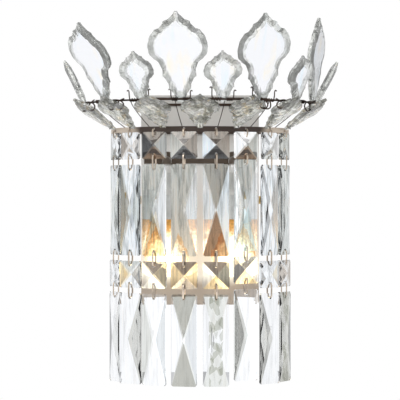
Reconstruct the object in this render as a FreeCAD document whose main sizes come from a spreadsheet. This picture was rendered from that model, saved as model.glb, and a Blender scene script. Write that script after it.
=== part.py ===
"""Crystal wall sconce: eight strands of cut crystal hang from a half ring in front of a metal
back plate, under a crown of upright pendalogues, round two small lamps.

Frame: the wall is the plane Y = 0, the sconce faces -Y, +Z is up and +X is to the right seen from
the front. The origin is the middle of the back plate's back. Lengths are in millimetres and
angles in degrees.

The ring's axis is vertical and stands Sizes.ring_setback in front of the wall. What stands round
it is first built in a radial frame, with X pointing outward from that axis, Y along the ring and
Z up, and is then turned to its angle.
"""
import FreeCAD, Part
import math
import os

import Sketcher

SIZES = [
    ("plate_width", 118, "back plate, side to side"),
    ("plate_height", 210, "back plate, top to bottom"),
    ("plate_depth", 18, "how far the plate's front stands from the wall"),
    ("plate_wall", 1.2, "sheet of the back plate"),
    ("plate_corner", 4, "radius of the plate's corners"),
    ("strap_height", 26, "wall bracket's strap, top to bottom"),
    ("strap_sheet", 1.6, "sheet of the wall bracket"),
    ("strap_play", 0.3, "gap between the bracket's tabs and the plate's sides"),
    ("tab_depth", 13, "how far the bracket's tabs stand from the wall"),
    ("wall_slot_spacing", 60, "between the two wall screws"),
    ("wall_slot_width", 4.5, "slot for a 4 mm wall screw"),
    ("wall_slot_length", 11, "end to end"),
    ("side_screw_height", 0, "of the side screws above the plate's middle"),
    ("side_screw_shank", 3, "side screw"),
    ("side_screw_play", 0.15, "round its shank"),
    ("side_screw_end", 1, "of the shank past the bracket's tab"),
    ("knob_diameter", 8, "knurled head of a side screw"),
    ("knob_length", 4.5, "the same"),
    ("ring_setback", 25, "from the wall to the ring's axis"),
    ("ring_radius", 88, "hanging ring, to the middle of its strip"),
    ("ring_strip", 1.5, "strip of the hanging ring"),
    ("ring_height", 4.6, "the same strip, top to bottom"),
    ("ring_bottom", 66, "underside of the hanging ring above the plate's middle"),
    ("column_step", 20, "angle between two strands"),
    ("square_side", 26, "square crystals"),
    ("square_depth", 7.2, "their thickness in the middle"),
    ("prism_length", 88, "long crystals"),
    ("prism_width", 25, "the same"),
    ("prism_depth", 9, "their thickness in the middle"),
    ("edge_depth", 2.4, "thickness of a hanging crystal's edge"),
    ("corner_cut", 1.6, "cut off each corner of a hanging crystal"),
    ("hole_diameter", 2.6, "drilled hole in a crystal"),
    ("hole_inset", 4.5, "from a crystal's end to its hole"),
    ("top_gap", 0.5, "between the hanging ring and the square under it"),
    ("crystal_gap", 5.3, "between two crystals of a strand"),
    ("short_gap", 0.6, "the same under the first square of the strand that hangs high"),
    ("wire", 0.9, "wire of a link"),
    ("arch_radius", 2.9, "round end of a link, to the middle of its wire"),
    ("arch_rise", 0.15, "of the wire above the middle of a hole it hangs in"),
    ("crown_radius", 118, "crown ring, to the middle of its wire"),
    ("crown_height", 95, "crown ring above the plate's middle"),
    ("crown_wire", 1.8, "wire of the crown ring"),
    ("crown_tail", 9, "angle by which the crown ring runs on past the sides"),
    ("strut_width", 1.5, "straps between the two rings"),
    ("strut_knee", 6, "of their bend under the crown ring"),
    ("strut_step", 22.5, "angle between two straps"),
    ("tie_gap", 0.1, "between the crown ring and what is tied to it"),
    ("upright_gap", 0.4, "between an upright's face and the crown ring"),
    ("collar_step", 22.5, "angle between two pendalogues of the collar"),
    ("collar_reach", 6.3, "from the hanging ring's middle out to the collar's holes"),
    ("collar_rise", 1.4, "of the collar's holes above the hanging ring"),
    ("collar_seat", 0.3, "between the collar's underside and the hooks it lies on"),
    ("collar_clear", 0.7, "between the collar's flats and the feet of the uprights above them"),
    ("large_length", 89, "large pendalogue"),
    ("large_width", 57, "the same"),
    ("large_window", 0.78, "its flat window as a share of its outline"),
    ("small_length", 51, "small pendalogue"),
    ("small_width", 37, "the same"),
    ("small_window", 0.6, "its flat window as a share of its outline"),
    ("leaf_depth", 7, "thickness of a pendalogue's flat window"),
    ("leaf_edge", 2.2, "thickness of its edge"),
    ("leaf_inset", 4.2, "from its foot to its hole"),
    ("pin", 1.2, "square pin that holds a pendalogue"),
    ("lamp_spacing", 66, "between the two lamps"),
    ("lamp_forward", 50, "of the lamps from the wall"),
    ("lamp_bar_height", 39, "middle of the lamp bar above the plate's middle"),
    ("lamp_bar_width", 5, "lamp bar, top to bottom"),
    ("lamp_bar_length", 112, "the same, side to side"),
    ("lamp_bar_sheet", 1.5, "its thickness"),
    ("arm_diameter", 9, "tube of a lamp arm"),
    ("arm_bore", 7, "the same"),
    ("arm_bend", 9, "radius of its elbow, to the middle of the tube"),
    ("arm_play", 0.1, "round the arm where it passes the plate and the bar"),
    ("arm_root", 3, "of the arm inside the back plate"),
    ("holder_diameter", 26, "lampholder"),
    ("holder_length", 46, "the same"),
    ("holder_neck", 15, "its upper end"),
    ("holder_skirt", 24, "height of its wide lower part"),
    ("holder_bottom", -19, "of its mouth above the plate's middle"),
    ("holder_well", 4, "room for the contact above the cap"),
    ("cap_diameter", 13.8, "screw cap of a bulb"),
    ("cap_length", 20, "the same, inside the lampholder"),
    ("cap_play", 0.4, "between the cap and the lampholder"),
    ("cap_taper", 2, "height of the cap's insulator"),
    ("contact_diameter", 5.5, "contact button on the cap"),
    ("contact_height", 1, "the same"),
    ("bulb_diameter", 45, "bulb's glass"),
    ("bulb_length", 57, "the glass, from the cap to the bottom"),
    ("bulb_neck", 18, "the glass at the lampholder's mouth"),
    ("block_width", 26, "terminal block, side to side"),
    ("block_height", 14, "the same, top to bottom"),
    ("block_depth", 11, "the same, front to back"),
    ("lead", 2.2, "each lead in its sleeve"),
]
COLUMNS = 8
COLLARS = 7
STRUTS = 8
HIGH_COLUMN = 6  # the strand that hangs higher than the others

# Where the first and the last crystal of each strand face, from straight ahead towards the right.
# They hang freely and so are turned a little from the ring's own direction.
FACINGS = [(-70, -63), (-47, -33), (-29, -25), (-12, -14), (8, 5), (33, 27), (54, 42), (69, 62)]

# The uprights of the crown, from left to right: small and large in turn. Each has its angle round
# the ring, its lean outward and its tilt to the left in its own plane, as bent by hand.
UPRIGHTS = [
    ("small", -86, 26, -5),
    ("large", -52, 32, -12),
    ("small", -29, 20, 0),
    ("large", -9, 22, 0),
    ("small", 11, 22, 5),
    ("large", 31, 20, 10),
    ("small", 54, 22, 17),
    ("large", 74, 8, 14),
    ("small", 90, 28, 5),
]

# Half of a pendalogue's outline from its tip to its foot: how far down each corner is as a share of
# the length, and how far out as a share of half the width.
LEAF = [
    (0.0, 0.05),
    (0.11, 0.44),
    (0.2, 0.76),
    (0.29, 0.95),
    (0.39, 1.0),
    (0.53, 0.735),
    (0.7, 0.56),
    (0.85, 0.36),
    (0.94, 0.18),
    (1.0, 0.13),
]
LEAF_MIDDLE = 0.42  # how far down the point is towards which the flat window shrinks

# What is small and round, and the bulbs' glass, is modelled with flats, so that its facets stay few.
HOLE_SIDES = 8  # a drilled hole
WIRE_SIDES = 8  # the crown ring's wire
TUBE_SIDES = 12  # a lamp arm's tube
ARCH_BENDS = 4  # straights in the half round of a link's arch
BULB_SIDES = 24  # a bulb's glass, seen from above
BULB_BENDS = 8  # straights in its round, from its neck to its bottom

doc = FreeCAD.newDocument("CrystalWallSconce")
sheet = doc.addObject("Spreadsheet::Sheet", "Sizes")


def enter(row, alias, value, note):
    """Writes one named size into the sheet, as a number or as a formula."""
    sheet.set(f"A{row}", note)
    sheet.set(f"B{row}", str(value))
    sheet.setAlias(f"B{row}", alias)


for row, (alias, value, note) in enumerate(SIZES, 1):
    enter(row, alias, value, note)
doc.recompute()

nodes = []

# Heights above the plate's middle, as expressions.
RING_TOP = "(Sizes.ring_bottom + Sizes.ring_height)"
RING_HOLE = "(Sizes.ring_bottom + Sizes.ring_height / 2)"
SQUARE_TOP = "(Sizes.ring_bottom - Sizes.top_gap)"
SQUARE_BOTTOM = f"({SQUARE_TOP} - Sizes.square_side)"
LINK_REACH = "(Sizes.arch_radius - Sizes.arch_rise)"  # from a hole to the middle of the arch in it
ARM_HEIGHT = "Sizes.lamp_bar_height"


def size(name):
    """A size from the sheet, as a number."""
    return float(sheet.get(name))


def leaf_half_at_hole(kind):
    """Half of a pendalogue's thickness at its hole, where its bevel rises from the foot."""
    run = f"((1 - Sizes.{kind}_window) * {1 - LEAF_MIDDLE:.4f} * Sizes.{kind}_length)"
    rise = f"(Sizes.leaf_depth - Sizes.leaf_edge) / 2 * Sizes.leaf_inset / {run}"
    return f"(Sizes.leaf_edge / 2 + {rise})"


def enter_collar_slope():
    """The collar slopes up from its holes so that it just passes under the feet of the uprights."""
    half = leaf_half_at_hole("large")
    foot = f"Sizes.crown_radius - Sizes.crown_wire / 2 - Sizes.upright_gap - {half}"
    out = f"({foot} - Sizes.ring_radius - Sizes.collar_reach)"
    up = f"(Sizes.crown_height - Sizes.leaf_inset - {RING_TOP} - Sizes.collar_rise)"
    below = f"asin((Sizes.leaf_depth / 2 + Sizes.collar_clear) / hypot({out}; {up}))"
    formula = f"=(atan2({up}; {out}) - {below}) / 1 deg"
    inside_sheet = formula.replace("Sizes.", "")
    enter(len(SIZES) + 1, "collar_slope", inside_sheet, "of the collar above the level")
    doc.recompute()


enter_collar_slope()


def publish(piece, label):
    """Names a finished piece and puts it on the list of those that are written out."""
    piece.Label = label
    nodes.append(piece)
    return piece


def bind(item, **expressions):
    """Ties properties of an object to the sheet."""
    for name, expression in expressions.items():
        item.setExpression(name.replace("__", "."), str(expression))
    return item


def primitive(kind, name, **expressions):
    return bind(doc.addObject(kind, name), **expressions)


def placed(name, pieces, x="0", y="0", z="0", turn="0", axis=(0, 0, 1)):
    """The pieces together, turned about an axis and moved, all by expressions."""
    group = doc.addObject("Part::Compound", name)
    group.Links = pieces
    group.Placement = FreeCAD.Placement(FreeCAD.Vector(), FreeCAD.Rotation(FreeCAD.Vector(*axis), 1))
    return bind(
        group,
        Placement__Base__x=x,
        Placement__Base__y=y,
        Placement__Base__z=z,
        Placement__Rotation__Angle=turn,
    )


def fixed(sketch, kind, geometry, point, expression, name):
    """Fixes one coordinate of a point of a sketch to an expression."""
    value = float(sketch.evalExpression(expression))
    index = sketch.addConstraint(Sketcher.Constraint(kind, -1, 1, geometry, point, value))
    sketch.renameConstraint(index, name)
    sketch.setExpression(f"Constraints.{name}", expression)


def polygon(sketch, points):
    """Closes a polygon through points whose two coordinates are expressions."""
    first = sketch.GeometryCount
    corners = [FreeCAD.Vector(*(float(sketch.evalExpression(v)) for v in point), 0) for point in points]
    count = len(corners)
    for i in range(count):
        sketch.addGeometry(Part.LineSegment(corners[i], corners[(i + 1) % count]))
    for i, (across, up) in enumerate(points):
        line = first + i
        following = first + (i + 1) % count
        sketch.addConstraint(Sketcher.Constraint("Coincident", line, 2, following, 1))
        fixed(sketch, "DistanceX", line, 1, across, f"across{line}")
        fixed(sketch, "DistanceY", line, 1, up, f"up{line}")


def drill(name, length):
    """What takes away a drilled hole, upright from the origin."""
    return rod(name, HOLE_SIDES, "Sizes.hole_diameter", length)


def rod(name, sides, diameter, length):
    """An upright rod from the origin, modelled with flats."""
    item = primitive("Part::Prism", name, Circumradius=f"{diameter} / 2", Height=length)
    item.Polygon = sides
    return item


def bow(name, sides, radius, diameter, angle):
    """A rod bent round the Z axis from the X axis on, modelled with flats."""
    section = free_sketch(name + "_section", "XZ")
    turns = [360 * k / sides for k in range(sides)]
    polygon(
        section,
        [(f"({radius} + {diameter} / 2 * cos({t}))", f"({diameter} / 2 * sin({t}))") for t in turns],
    )
    item = doc.addObject("Part::Revolution", name)
    item.Source = section
    item.Axis = (0, 0, 1)
    item.Solid = True
    return bind(item, Angle=angle)


def circle(sketch, diameter, across="0", up="0"):
    """A circle whose diameter and middle are expressions."""
    middle = FreeCAD.Vector(*(float(sketch.evalExpression(v)) for v in (across, up)), 0)
    radius = float(sketch.evalExpression(f"{diameter} / 2"))
    index = sketch.addGeometry(Part.Circle(middle, FreeCAD.Vector(0, 0, 1), radius))
    fixed(sketch, "DistanceX", index, 3, across, f"across{index}")
    fixed(sketch, "DistanceY", index, 3, up, f"up{index}")
    wide = sketch.addConstraint(Sketcher.Constraint("Diameter", index, 2 * radius))
    sketch.renameConstraint(wide, f"wide{index}")
    sketch.setExpression(f"Constraints.wide{index}", diameter)


def slot(sketch, length, width, across="0", up="0"):
    """A level slot with round ends, given by its whole length, its width and its middle."""
    middle_x, middle_y, long, wide = (float(sketch.evalExpression(v)) for v in (across, up, length, width))
    radius = wide / 2
    left = FreeCAD.Vector(middle_x - long / 2 + radius, middle_y, 0)
    right = FreeCAD.Vector(middle_x + long / 2 - radius, middle_y, 0)
    rise = FreeCAD.Vector(0, radius, 0)
    normal = FreeCAD.Vector(0, 0, 1)
    first = sketch.GeometryCount
    sketch.addGeometry(Part.LineSegment(left - rise, right - rise))
    sketch.addGeometry(Part.ArcOfCircle(Part.Circle(right, normal, radius), -math.pi / 2, math.pi / 2))
    sketch.addGeometry(Part.LineSegment(right + rise, left + rise))
    sketch.addGeometry(Part.ArcOfCircle(Part.Circle(left, normal, radius), math.pi / 2, 3 * math.pi / 2))
    for i in range(4):
        sketch.addConstraint(Sketcher.Constraint("Tangent", first + i, 2, first + (i + 1) % 4, 1))
    fixed(sketch, "DistanceX", first + 3, 3, f"{across} - ({length} - {width}) / 2", f"left{first}")
    fixed(sketch, "DistanceX", first + 1, 3, f"{across} + ({length} - {width}) / 2", f"right{first}")
    fixed(sketch, "DistanceY", first + 1, 3, up, f"middle{first}")
    fixed(sketch, "DistanceY", first, 1, f"{up} - {width} / 2", f"low{first}")


def rounded_rectangle(sketch, width, height, radius):
    """A rectangle about the sketch's origin with round corners."""
    w, h, r = (float(sketch.evalExpression(v)) for v in (width, height, radius))
    x, y = w / 2, h / 2
    first = sketch.GeometryCount
    normal = FreeCAD.Vector(0, 0, 1)
    turns = [(x, -y, -math.pi / 2), (x, y, 0), (-x, y, math.pi / 2), (-x, -y, math.pi)]
    middles = [FreeCAD.Vector(a - math.copysign(r, a), b - math.copysign(r, b), 0) for a, b, _ in turns]
    for i, (_, _, start) in enumerate(turns):
        arc = Part.ArcOfCircle(Part.Circle(middles[i], normal, r), start, start + math.pi / 2)
        sketch.addGeometry(arc)
        following = Part.ArcOfCircle(
            Part.Circle(middles[(i + 1) % 4], normal, r), start + math.pi / 2, start + math.pi
        )
        sketch.addGeometry(Part.LineSegment(arc.EndPoint, following.StartPoint))
    for i in range(8):
        sketch.addConstraint(Sketcher.Constraint("Tangent", first + i, 2, first + (i + 1) % 8, 1))
    for corner in (2, 4, 6):
        sketch.addConstraint(Sketcher.Constraint("Equal", first, first + corner))
    fixed(sketch, "DistanceX", first, 3, f"{width} / 2 - {radius}", "right")
    fixed(sketch, "DistanceY", first, 3, f"{radius} - {height} / 2", "low")
    fixed(sketch, "DistanceX", first + 4, 3, f"{radius} - {width} / 2", "left")
    fixed(sketch, "DistanceY", first + 4, 3, f"{height} / 2 - {radius}", "high")
    index = sketch.addConstraint(Sketcher.Constraint("Radius", first, r))
    sketch.renameConstraint(index, "corner")
    sketch.setExpression("Constraints.corner", radius)


def free_sketch(name, plane):
    """A sketch on one of the three main planes, outside any body."""
    turns = {
        "XY": FreeCAD.Rotation(),
        "XZ": FreeCAD.Rotation(FreeCAD.Vector(1, 0, 0), 90),
        "YZ": FreeCAD.Rotation(FreeCAD.Vector(1, 1, 1), 120),
    }
    sketch = doc.addObject("Sketcher::SketchObject", name)
    sketch.Placement = FreeCAD.Placement(FreeCAD.Vector(), turns[plane])
    return sketch


def extruded(name, sketch, length, symmetric=True, back=False):
    """A sketch drawn out along its normal, to both sides or to one."""
    item = doc.addObject("Part::Extrusion", name)
    item.Base = sketch
    item.DirMode = "Normal"
    item.Solid = True
    item.Symmetric = symmetric
    item.Reversed = back
    return bind(item, LengthFwd=length)


def body_sketch(body, role, name):
    """A sketch on one of a body's own main planes."""
    sketch = body.newObject("Sketcher::SketchObject", name)
    plane = next(f for f in body.Origin.OriginFeatures if f.Role == role)
    sketch.AttachmentSupport = (plane, [""])
    sketch.MapMode = "FlatFace"
    return sketch


def revolved(body, sketch, name):
    """A full turn of a sketch about its vertical axis."""
    feature = body.newObject("PartDesign::Revolution", name)
    feature.Profile = sketch
    feature.ReferenceAxis = (sketch, ["V_Axis"])
    feature.Angle = 360
    return feature


def cut(name, base, tools):
    """The base with the tools taken away."""
    bundle = doc.addObject("Part::Compound", name + "_tools")
    bundle.Links = tools
    item = doc.addObject("Part::Cut", name)
    item.Base = base
    item.Tool = bundle
    return item


# --- the back plate and what holds it to the wall --------------------------------------------------


def build_back_plate():
    """A shallow tray, open to the wall, with holes for the side screws and the lamp arms."""
    body = doc.addObject("PartDesign::Body", "back_plate")
    face = body_sketch(body, "XZ_Plane", "plate_face")
    rounded_rectangle(face, "Sizes.plate_width", "Sizes.plate_height", "Sizes.plate_corner")
    tray = body.newObject("PartDesign::Pad", "plate_tray")
    tray.Profile = face
    bind(tray, Length="Sizes.plate_depth")
    inside = body_sketch(body, "XZ_Plane", "plate_inside")
    rounded_rectangle(
        inside,
        "(Sizes.plate_width - 2 * Sizes.plate_wall)",
        "(Sizes.plate_height - 2 * Sizes.plate_wall)",
        "(Sizes.plate_corner - Sizes.plate_wall)",
    )
    hollow = body.newObject("PartDesign::Pocket", "plate_hollow")
    hollow.Profile = inside
    hollow.Reversed = True
    bind(hollow, Length="Sizes.plate_depth - Sizes.plate_wall")
    holes = body_sketch(body, "XZ_Plane", "arm_holes")
    for side in (-1, 1):
        circle(
            holes,
            "(Sizes.arm_diameter + 2 * Sizes.arm_play)",
            f"{side} * Sizes.lamp_spacing / 2",
            ARM_HEIGHT,
        )
    drilled = body.newObject("PartDesign::Pocket", "plate_arm_holes")
    drilled.Profile = holes
    drilled.Reversed = True
    bind(drilled, Length="Sizes.plate_depth + Sizes.plate_wall")
    sides = body_sketch(body, "YZ_Plane", "side_holes")
    circle(
        sides,
        "(Sizes.side_screw_shank + 2 * Sizes.side_screw_play)",
        "-Sizes.tab_depth / 2",
        "Sizes.side_screw_height",
    )
    pierced = body.newObject("PartDesign::Pocket", "plate_side_holes")
    pierced.Profile = sides
    pierced.SideType = "Symmetric"
    bind(pierced, Length="2 * Sizes.plate_width")
    publish(body, "back_plate")


def build_wall_bracket():
    """A strap against the wall with slots for the wall screws and a tab at each end for a side screw."""
    body = doc.addObject("PartDesign::Body", "wall_bracket")
    plan = body_sketch(body, "XY_Plane", "bracket_plan")
    outer = "(Sizes.plate_width / 2 - Sizes.plate_wall - Sizes.strap_play)"
    inner = f"({outer} - Sizes.strap_sheet)"
    polygon(
        plan,
        [
            (f"-{outer}", "0"),
            (outer, "0"),
            (outer, "-Sizes.tab_depth"),
            (inner, "-Sizes.tab_depth"),
            (inner, "-Sizes.strap_sheet"),
            (f"-{inner}", "-Sizes.strap_sheet"),
            (f"-{inner}", "-Sizes.tab_depth"),
            (f"-{outer}", "-Sizes.tab_depth"),
        ],
    )
    strap = body.newObject("PartDesign::Pad", "bracket_strap")
    strap.Profile = plan
    strap.SideType = "Symmetric"
    bind(strap, Length="Sizes.strap_height")
    face = body_sketch(body, "XZ_Plane", "wall_slots")
    for side in (-1, 1):
        slot(
            face,
            "Sizes.wall_slot_length",
            "Sizes.wall_slot_width",
            f"{side} * Sizes.wall_slot_spacing / 2",
            "0",
        )
    slots = body.newObject("PartDesign::Pocket", "bracket_slots")
    slots.Profile = face
    slots.Reversed = True
    bind(slots, Length="2 * Sizes.strap_sheet")
    ends = body_sketch(body, "YZ_Plane", "tab_holes")
    circle(
        ends,
        "(Sizes.side_screw_shank + 2 * Sizes.side_screw_play)",
        "-Sizes.tab_depth / 2",
        "Sizes.side_screw_height",
    )
    pierced = body.newObject("PartDesign::Pocket", "bracket_tab_holes")
    pierced.Profile = ends
    pierced.SideType = "Symmetric"
    bind(pierced, Length="2 * Sizes.plate_width")
    publish(body, "wall_bracket")


def build_side_screws():
    """Two knurled screws that go through the plate's sides into the bracket's tabs."""
    body = doc.addObject("PartDesign::Body", "side_screw")
    half = body_sketch(body, "XZ_Plane", "side_screw_half")
    reach = "(Sizes.plate_wall + Sizes.strap_play + Sizes.strap_sheet + Sizes.side_screw_end)"
    polygon(
        half,
        [
            ("0", f"-{reach}"),
            ("Sizes.side_screw_shank / 2", f"-{reach}"),
            ("Sizes.side_screw_shank / 2", "0"),
            ("Sizes.knob_diameter / 2", "0"),
            ("Sizes.knob_diameter / 2", "Sizes.knob_length"),
            ("0", "Sizes.knob_length"),
        ],
    )
    revolved(body, half, "side_screw_turned")
    pair = [
        placed(
            f"side_screw_{name}",
            [body],
            x=f"{side} * Sizes.plate_width / 2",
            y="-Sizes.tab_depth / 2",
            z="Sizes.side_screw_height",
            turn=f"{side} * 90",
            axis=(0, 1, 0),
        )
        for side, name in ((-1, "left"), (1, "right"))
    ]
    publish(placed("side_screws", pair), "side_screws")


# --- the two rings ---------------------------------------------------------------------------------


def ring_outline(sketch, offset, name):
    """A half circle round the ring's axis, closed by two sides and a bar along the back plate."""
    setback, radius = size("ring_setback"), size("ring_radius")
    strip, depth = size("ring_strip"), size("plate_depth")
    r = radius + offset * strip / 2
    back = -depth - (0 if offset > 0 else strip)
    middle = FreeCAD.Vector(0, -setback, 0)
    normal = FreeCAD.Vector(0, 0, 1)
    first = sketch.GeometryCount
    left, right = FreeCAD.Vector(-r, -setback, 0), FreeCAD.Vector(r, -setback, 0)
    rear_left, rear_right = FreeCAD.Vector(-r, back, 0), FreeCAD.Vector(r, back, 0)
    sketch.addGeometry(Part.ArcOfCircle(Part.Circle(middle, normal, r), math.pi, 2 * math.pi))
    sketch.addGeometry(Part.LineSegment(right, rear_right))
    sketch.addGeometry(Part.LineSegment(rear_right, rear_left))
    sketch.addGeometry(Part.LineSegment(rear_left, left))
    for i in range(4):
        sketch.addConstraint(Sketcher.Constraint("Coincident", first + i, 2, first + (i + 1) % 4, 1))
    sketch.addConstraint(Sketcher.Constraint("Vertical", first + 1))
    sketch.addConstraint(Sketcher.Constraint("Horizontal", first + 2))
    sketch.addConstraint(Sketcher.Constraint("Vertical", first + 3))
    sketch.addConstraint(Sketcher.Constraint("PointOnObject", first, 3, -2))
    fixed(sketch, "DistanceY", first, 3, "-Sizes.ring_setback", f"middle_{name}")
    fixed(sketch, "DistanceY", first, 1, "-Sizes.ring_setback", f"left_{name}")
    fixed(sketch, "DistanceY", first, 2, "-Sizes.ring_setback", f"right_{name}")
    wide = sketch.addConstraint(Sketcher.Constraint("Radius", first, r))
    sketch.renameConstraint(wide, f"radius_{name}")
    sign = "+" if offset > 0 else "-"
    sketch.setExpression(f"Constraints.radius_{name}", f"Sizes.ring_radius {sign} Sizes.ring_strip / 2")
    inset = "0" if offset > 0 else "Sizes.ring_strip"
    fixed(sketch, "DistanceY", first + 2, 1, f"-Sizes.plate_depth - {inset}", f"rear_{name}")


def column_angle(column):
    """Where a strand hangs, from straight ahead towards the right, as an expression."""
    return f"(Sizes.column_step * {column - (COLUMNS + 1) / 2})"


def build_hanging_ring():
    """A half ring of flat strip that lies against the back plate, with a hole for each strand."""
    plan = free_sketch("ring_plan", "XY")
    ring_outline(plan, 1, "outer")
    ring_outline(plan, -1, "inner")
    strip = extruded("ring_strip_bent", plan, "Sizes.ring_height", symmetric=False)
    raised = placed("ring_strip_raised", [strip], z="Sizes.ring_bottom")
    level = placed(
        "ring_drill_level",
        [drill("ring_drill", "4 * Sizes.ring_strip")],
        x="Sizes.ring_radius - 2 * Sizes.ring_strip",
        z=RING_HOLE,
        turn="90",
        axis=(0, 1, 0),
    )
    drills = [
        around(f"ring_hole_{column}", [level], column_angle(column)) for column in range(1, COLUMNS + 1)
    ]
    publish(cut("hanging_ring", raised, drills), "hanging_ring")


def around(name, pieces, angle):
    """Turns pieces from the radial frame to their angle round the ring's axis."""
    return placed(name, pieces, y="-Sizes.ring_setback", turn=f"{angle} - 90")


def station(count, step, number):
    """The angle of one of several pieces spread evenly about the front."""
    return f"({step} * {number - (count + 1) / 2})"


def build_crown_ring():
    """The wire hoop of the crown, the straps that carry it and the pins of the pendalogues."""
    sweep = "180 + 2 * Sizes.crown_tail"
    hoop = bow("crown_hoop", WIRE_SIDES, "Sizes.crown_radius", "Sizes.crown_wire", sweep)
    hoop_set = placed(
        "crown_hoop_set",
        [hoop],
        y="-Sizes.ring_setback",
        z="Sizes.crown_height",
        turn="180 - Sizes.crown_tail",
    )
    strut = crown_strut()
    struts = [
        around(f"strut_{i}", [strut], station(STRUTS, "Sizes.strut_step", i))
        for i in range(1, STRUTS + 1)
    ]
    hook = collar_hook()
    hooks = [
        around(f"collar_hook_{i}", [hook], station(COLLARS, "Sizes.collar_step", i))
        for i in range(1, COLLARS + 1)
    ]
    pins = []
    for kind in ("small", "large"):
        half = leaf_half_at_hole(kind)
        pin = primitive(
            "Part::Box",
            f"{kind}_pin",
            Length=f"2 * {half} + Sizes.pin + Sizes.upright_gap - Sizes.tie_gap",
            Width="Sizes.pin",
            Height="Sizes.pin",
        )
        centred = placed(
            f"{kind}_pin_centred",
            [pin],
            x=f"-{half} - Sizes.pin",
            y="-Sizes.pin / 2",
            z="-Sizes.pin / 2",
        )
        for number, (own, *_) in enumerate(UPRIGHTS, 1):
            if own == kind:
                pins.append(stood(f"upright_pin_{number}", centred, number))
    publish(placed("crown_ring", [hoop_set, *struts, *hooks, *pins]), "crown_ring")


def crown_strut():
    """A strap in the radial frame that rises from the hanging ring and bends up to the crown ring."""
    half, top = "Sizes.strut_width / 2", "(Sizes.crown_height - Sizes.crown_wire / 2 - Sizes.tie_gap)"
    knee = "(Sizes.crown_height - Sizes.strut_knee)"
    side = free_sketch("strut_side", "XZ")
    polygon(
        side,
        [
            ("(Sizes.ring_radius - Sizes.ring_strip / 2)", RING_TOP),
            ("(Sizes.ring_radius + Sizes.ring_strip / 2)", RING_TOP),
            (f"(Sizes.crown_radius + {half})", f"({knee} - {half})"),
            (f"(Sizes.crown_radius + {half})", top),
            (f"(Sizes.crown_radius - {half})", top),
            (f"(Sizes.crown_radius - {half})", f"({knee} + {half})"),
        ],
    )
    return extruded("strut", side, "Sizes.strut_width")


def collar_hook():
    """A bent pin in the radial frame: out from the hanging ring's face, then up through the hole."""
    hole_out = "(Sizes.ring_radius + Sizes.collar_reach)"
    hole_up = f"({RING_TOP} + Sizes.collar_rise)"
    along = ("cos(Sizes.collar_slope)", "sin(Sizes.collar_slope)")
    normal = ("(-sin(Sizes.collar_slope))", "cos(Sizes.collar_slope)")
    root = "(Sizes.ring_radius + Sizes.ring_strip / 2)"
    half = leaf_half_at_hole("small")
    bend = f"({half} + Sizes.collar_seat)"

    def at(forward, up):
        return (
            f"({hole_out} + ({forward}) * {along[0]} + ({up}) * {normal[0]})",
            f"({hole_up} + ({forward}) * {along[1]} + ({up}) * {normal[1]})",
        )

    side = free_sketch("collar_hook_side", "XZ")
    polygon(
        side,
        [
            (root, "(Sizes.ring_bottom + Sizes.pin)"),
            (root, "Sizes.ring_bottom"),
            at("Sizes.pin / 2", f"-{bend} - Sizes.pin"),
            at("Sizes.pin / 2", f"{half} + Sizes.pin"),
            at("-Sizes.pin / 2", f"{half} + Sizes.pin"),
            at("-Sizes.pin / 2", f"-{bend}"),
        ],
    )
    return extruded("collar_hook", side, "Sizes.pin")


# --- crystals --------------------------------------------------------------------------------------


def cut_crystal(name, width, length, depth, holes):
    """A flat crystal about its own middle, cut on both faces to four facets that meet in the middle.
    It is what an outline, a side profile and an end profile have in common. holes are heights from
    the middle."""
    outline = free_sketch(name + "_outline", "YZ")
    w, h, c = f"({width} / 2)", f"({length} / 2)", "Sizes.corner_cut"
    polygon(
        outline,
        [
            (f"({c} - {w})", f"-{h}"),
            (f"({w} - {c})", f"-{h}"),
            (w, f"({c} - {h})"),
            (w, f"({h} - {c})"),
            (f"({w} - {c})", h),
            (f"({c} - {w})", h),
            (f"-{w}", f"({h} - {c})"),
            (f"-{w}", f"({c} - {h})"),
        ],
    )
    blank = extruded(name + "_blank", outline, f"2 * {depth}")
    lens = []
    for plane, reach, other in (("XY", w, length), ("XZ", h, width)):
        profile = free_sketch(f"{name}_{plane}", plane)
        polygon(
            profile,
            [
                ("-Sizes.edge_depth / 2", f"-{reach}"),
                ("Sizes.edge_depth / 2", f"-{reach}"),
                (f"({depth} / 2)", "0"),
                ("Sizes.edge_depth / 2", reach),
                ("-Sizes.edge_depth / 2", reach),
                (f"-({depth} / 2)", "0"),
            ],
        )
        lens.append(extruded(f"{name}_{plane}_lens", profile, f"2 * {other}"))
    gem = doc.addObject("Part::MultiCommon", name + "_gem")
    gem.Shapes = [blank, *lens]
    tool = drill(name + "_drill", f"2 * {depth}")
    drills = [
        placed(f"{name}_hole_{i}", [tool], x=f"-{depth}", z=height, turn="90", axis=(0, 1, 0))
        for i, height in enumerate(holes, 1)
    ]
    return cut(name, gem, drills)


def wire_link(name, half):
    """A closed wire link in the radial plane about its own middle. half is from the middle to the
    middle of each arch. Each arch is bent in short straights."""
    sketch = free_sketch(name + "_side", "XZ")
    turns = [180 * k / ARCH_BENDS for k in range(ARCH_BENDS + 1)]
    for sign in ("+", "-"):
        radius = f"(Sizes.arch_radius {sign} Sizes.wire / 2)"
        top = [(f"({radius} * cos({turn}))", f"({half} + {radius} * sin({turn}))") for turn in turns]
        bottom = [(f"(-{across})", f"(-{up})") for across, up in top]
        polygon(sketch, top + bottom)
    return extruded(name, sketch, "Sizes.wire")


def column_place(column):
    """The middle of a strand's crystals seen from above, as expressions."""
    angle = column_angle(column)
    return (
        f"Sizes.ring_radius * sin({angle})",
        f"-Sizes.ring_setback - Sizes.ring_radius * cos({angle})",
    )


def facing(column, share):
    """The direction that a piece of a strand faces: share is 0 for its first crystal, 1 for its last."""
    first, last = FACINGS[column - 1]
    return f"({first + (last - first) * share:.4f})"


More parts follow.
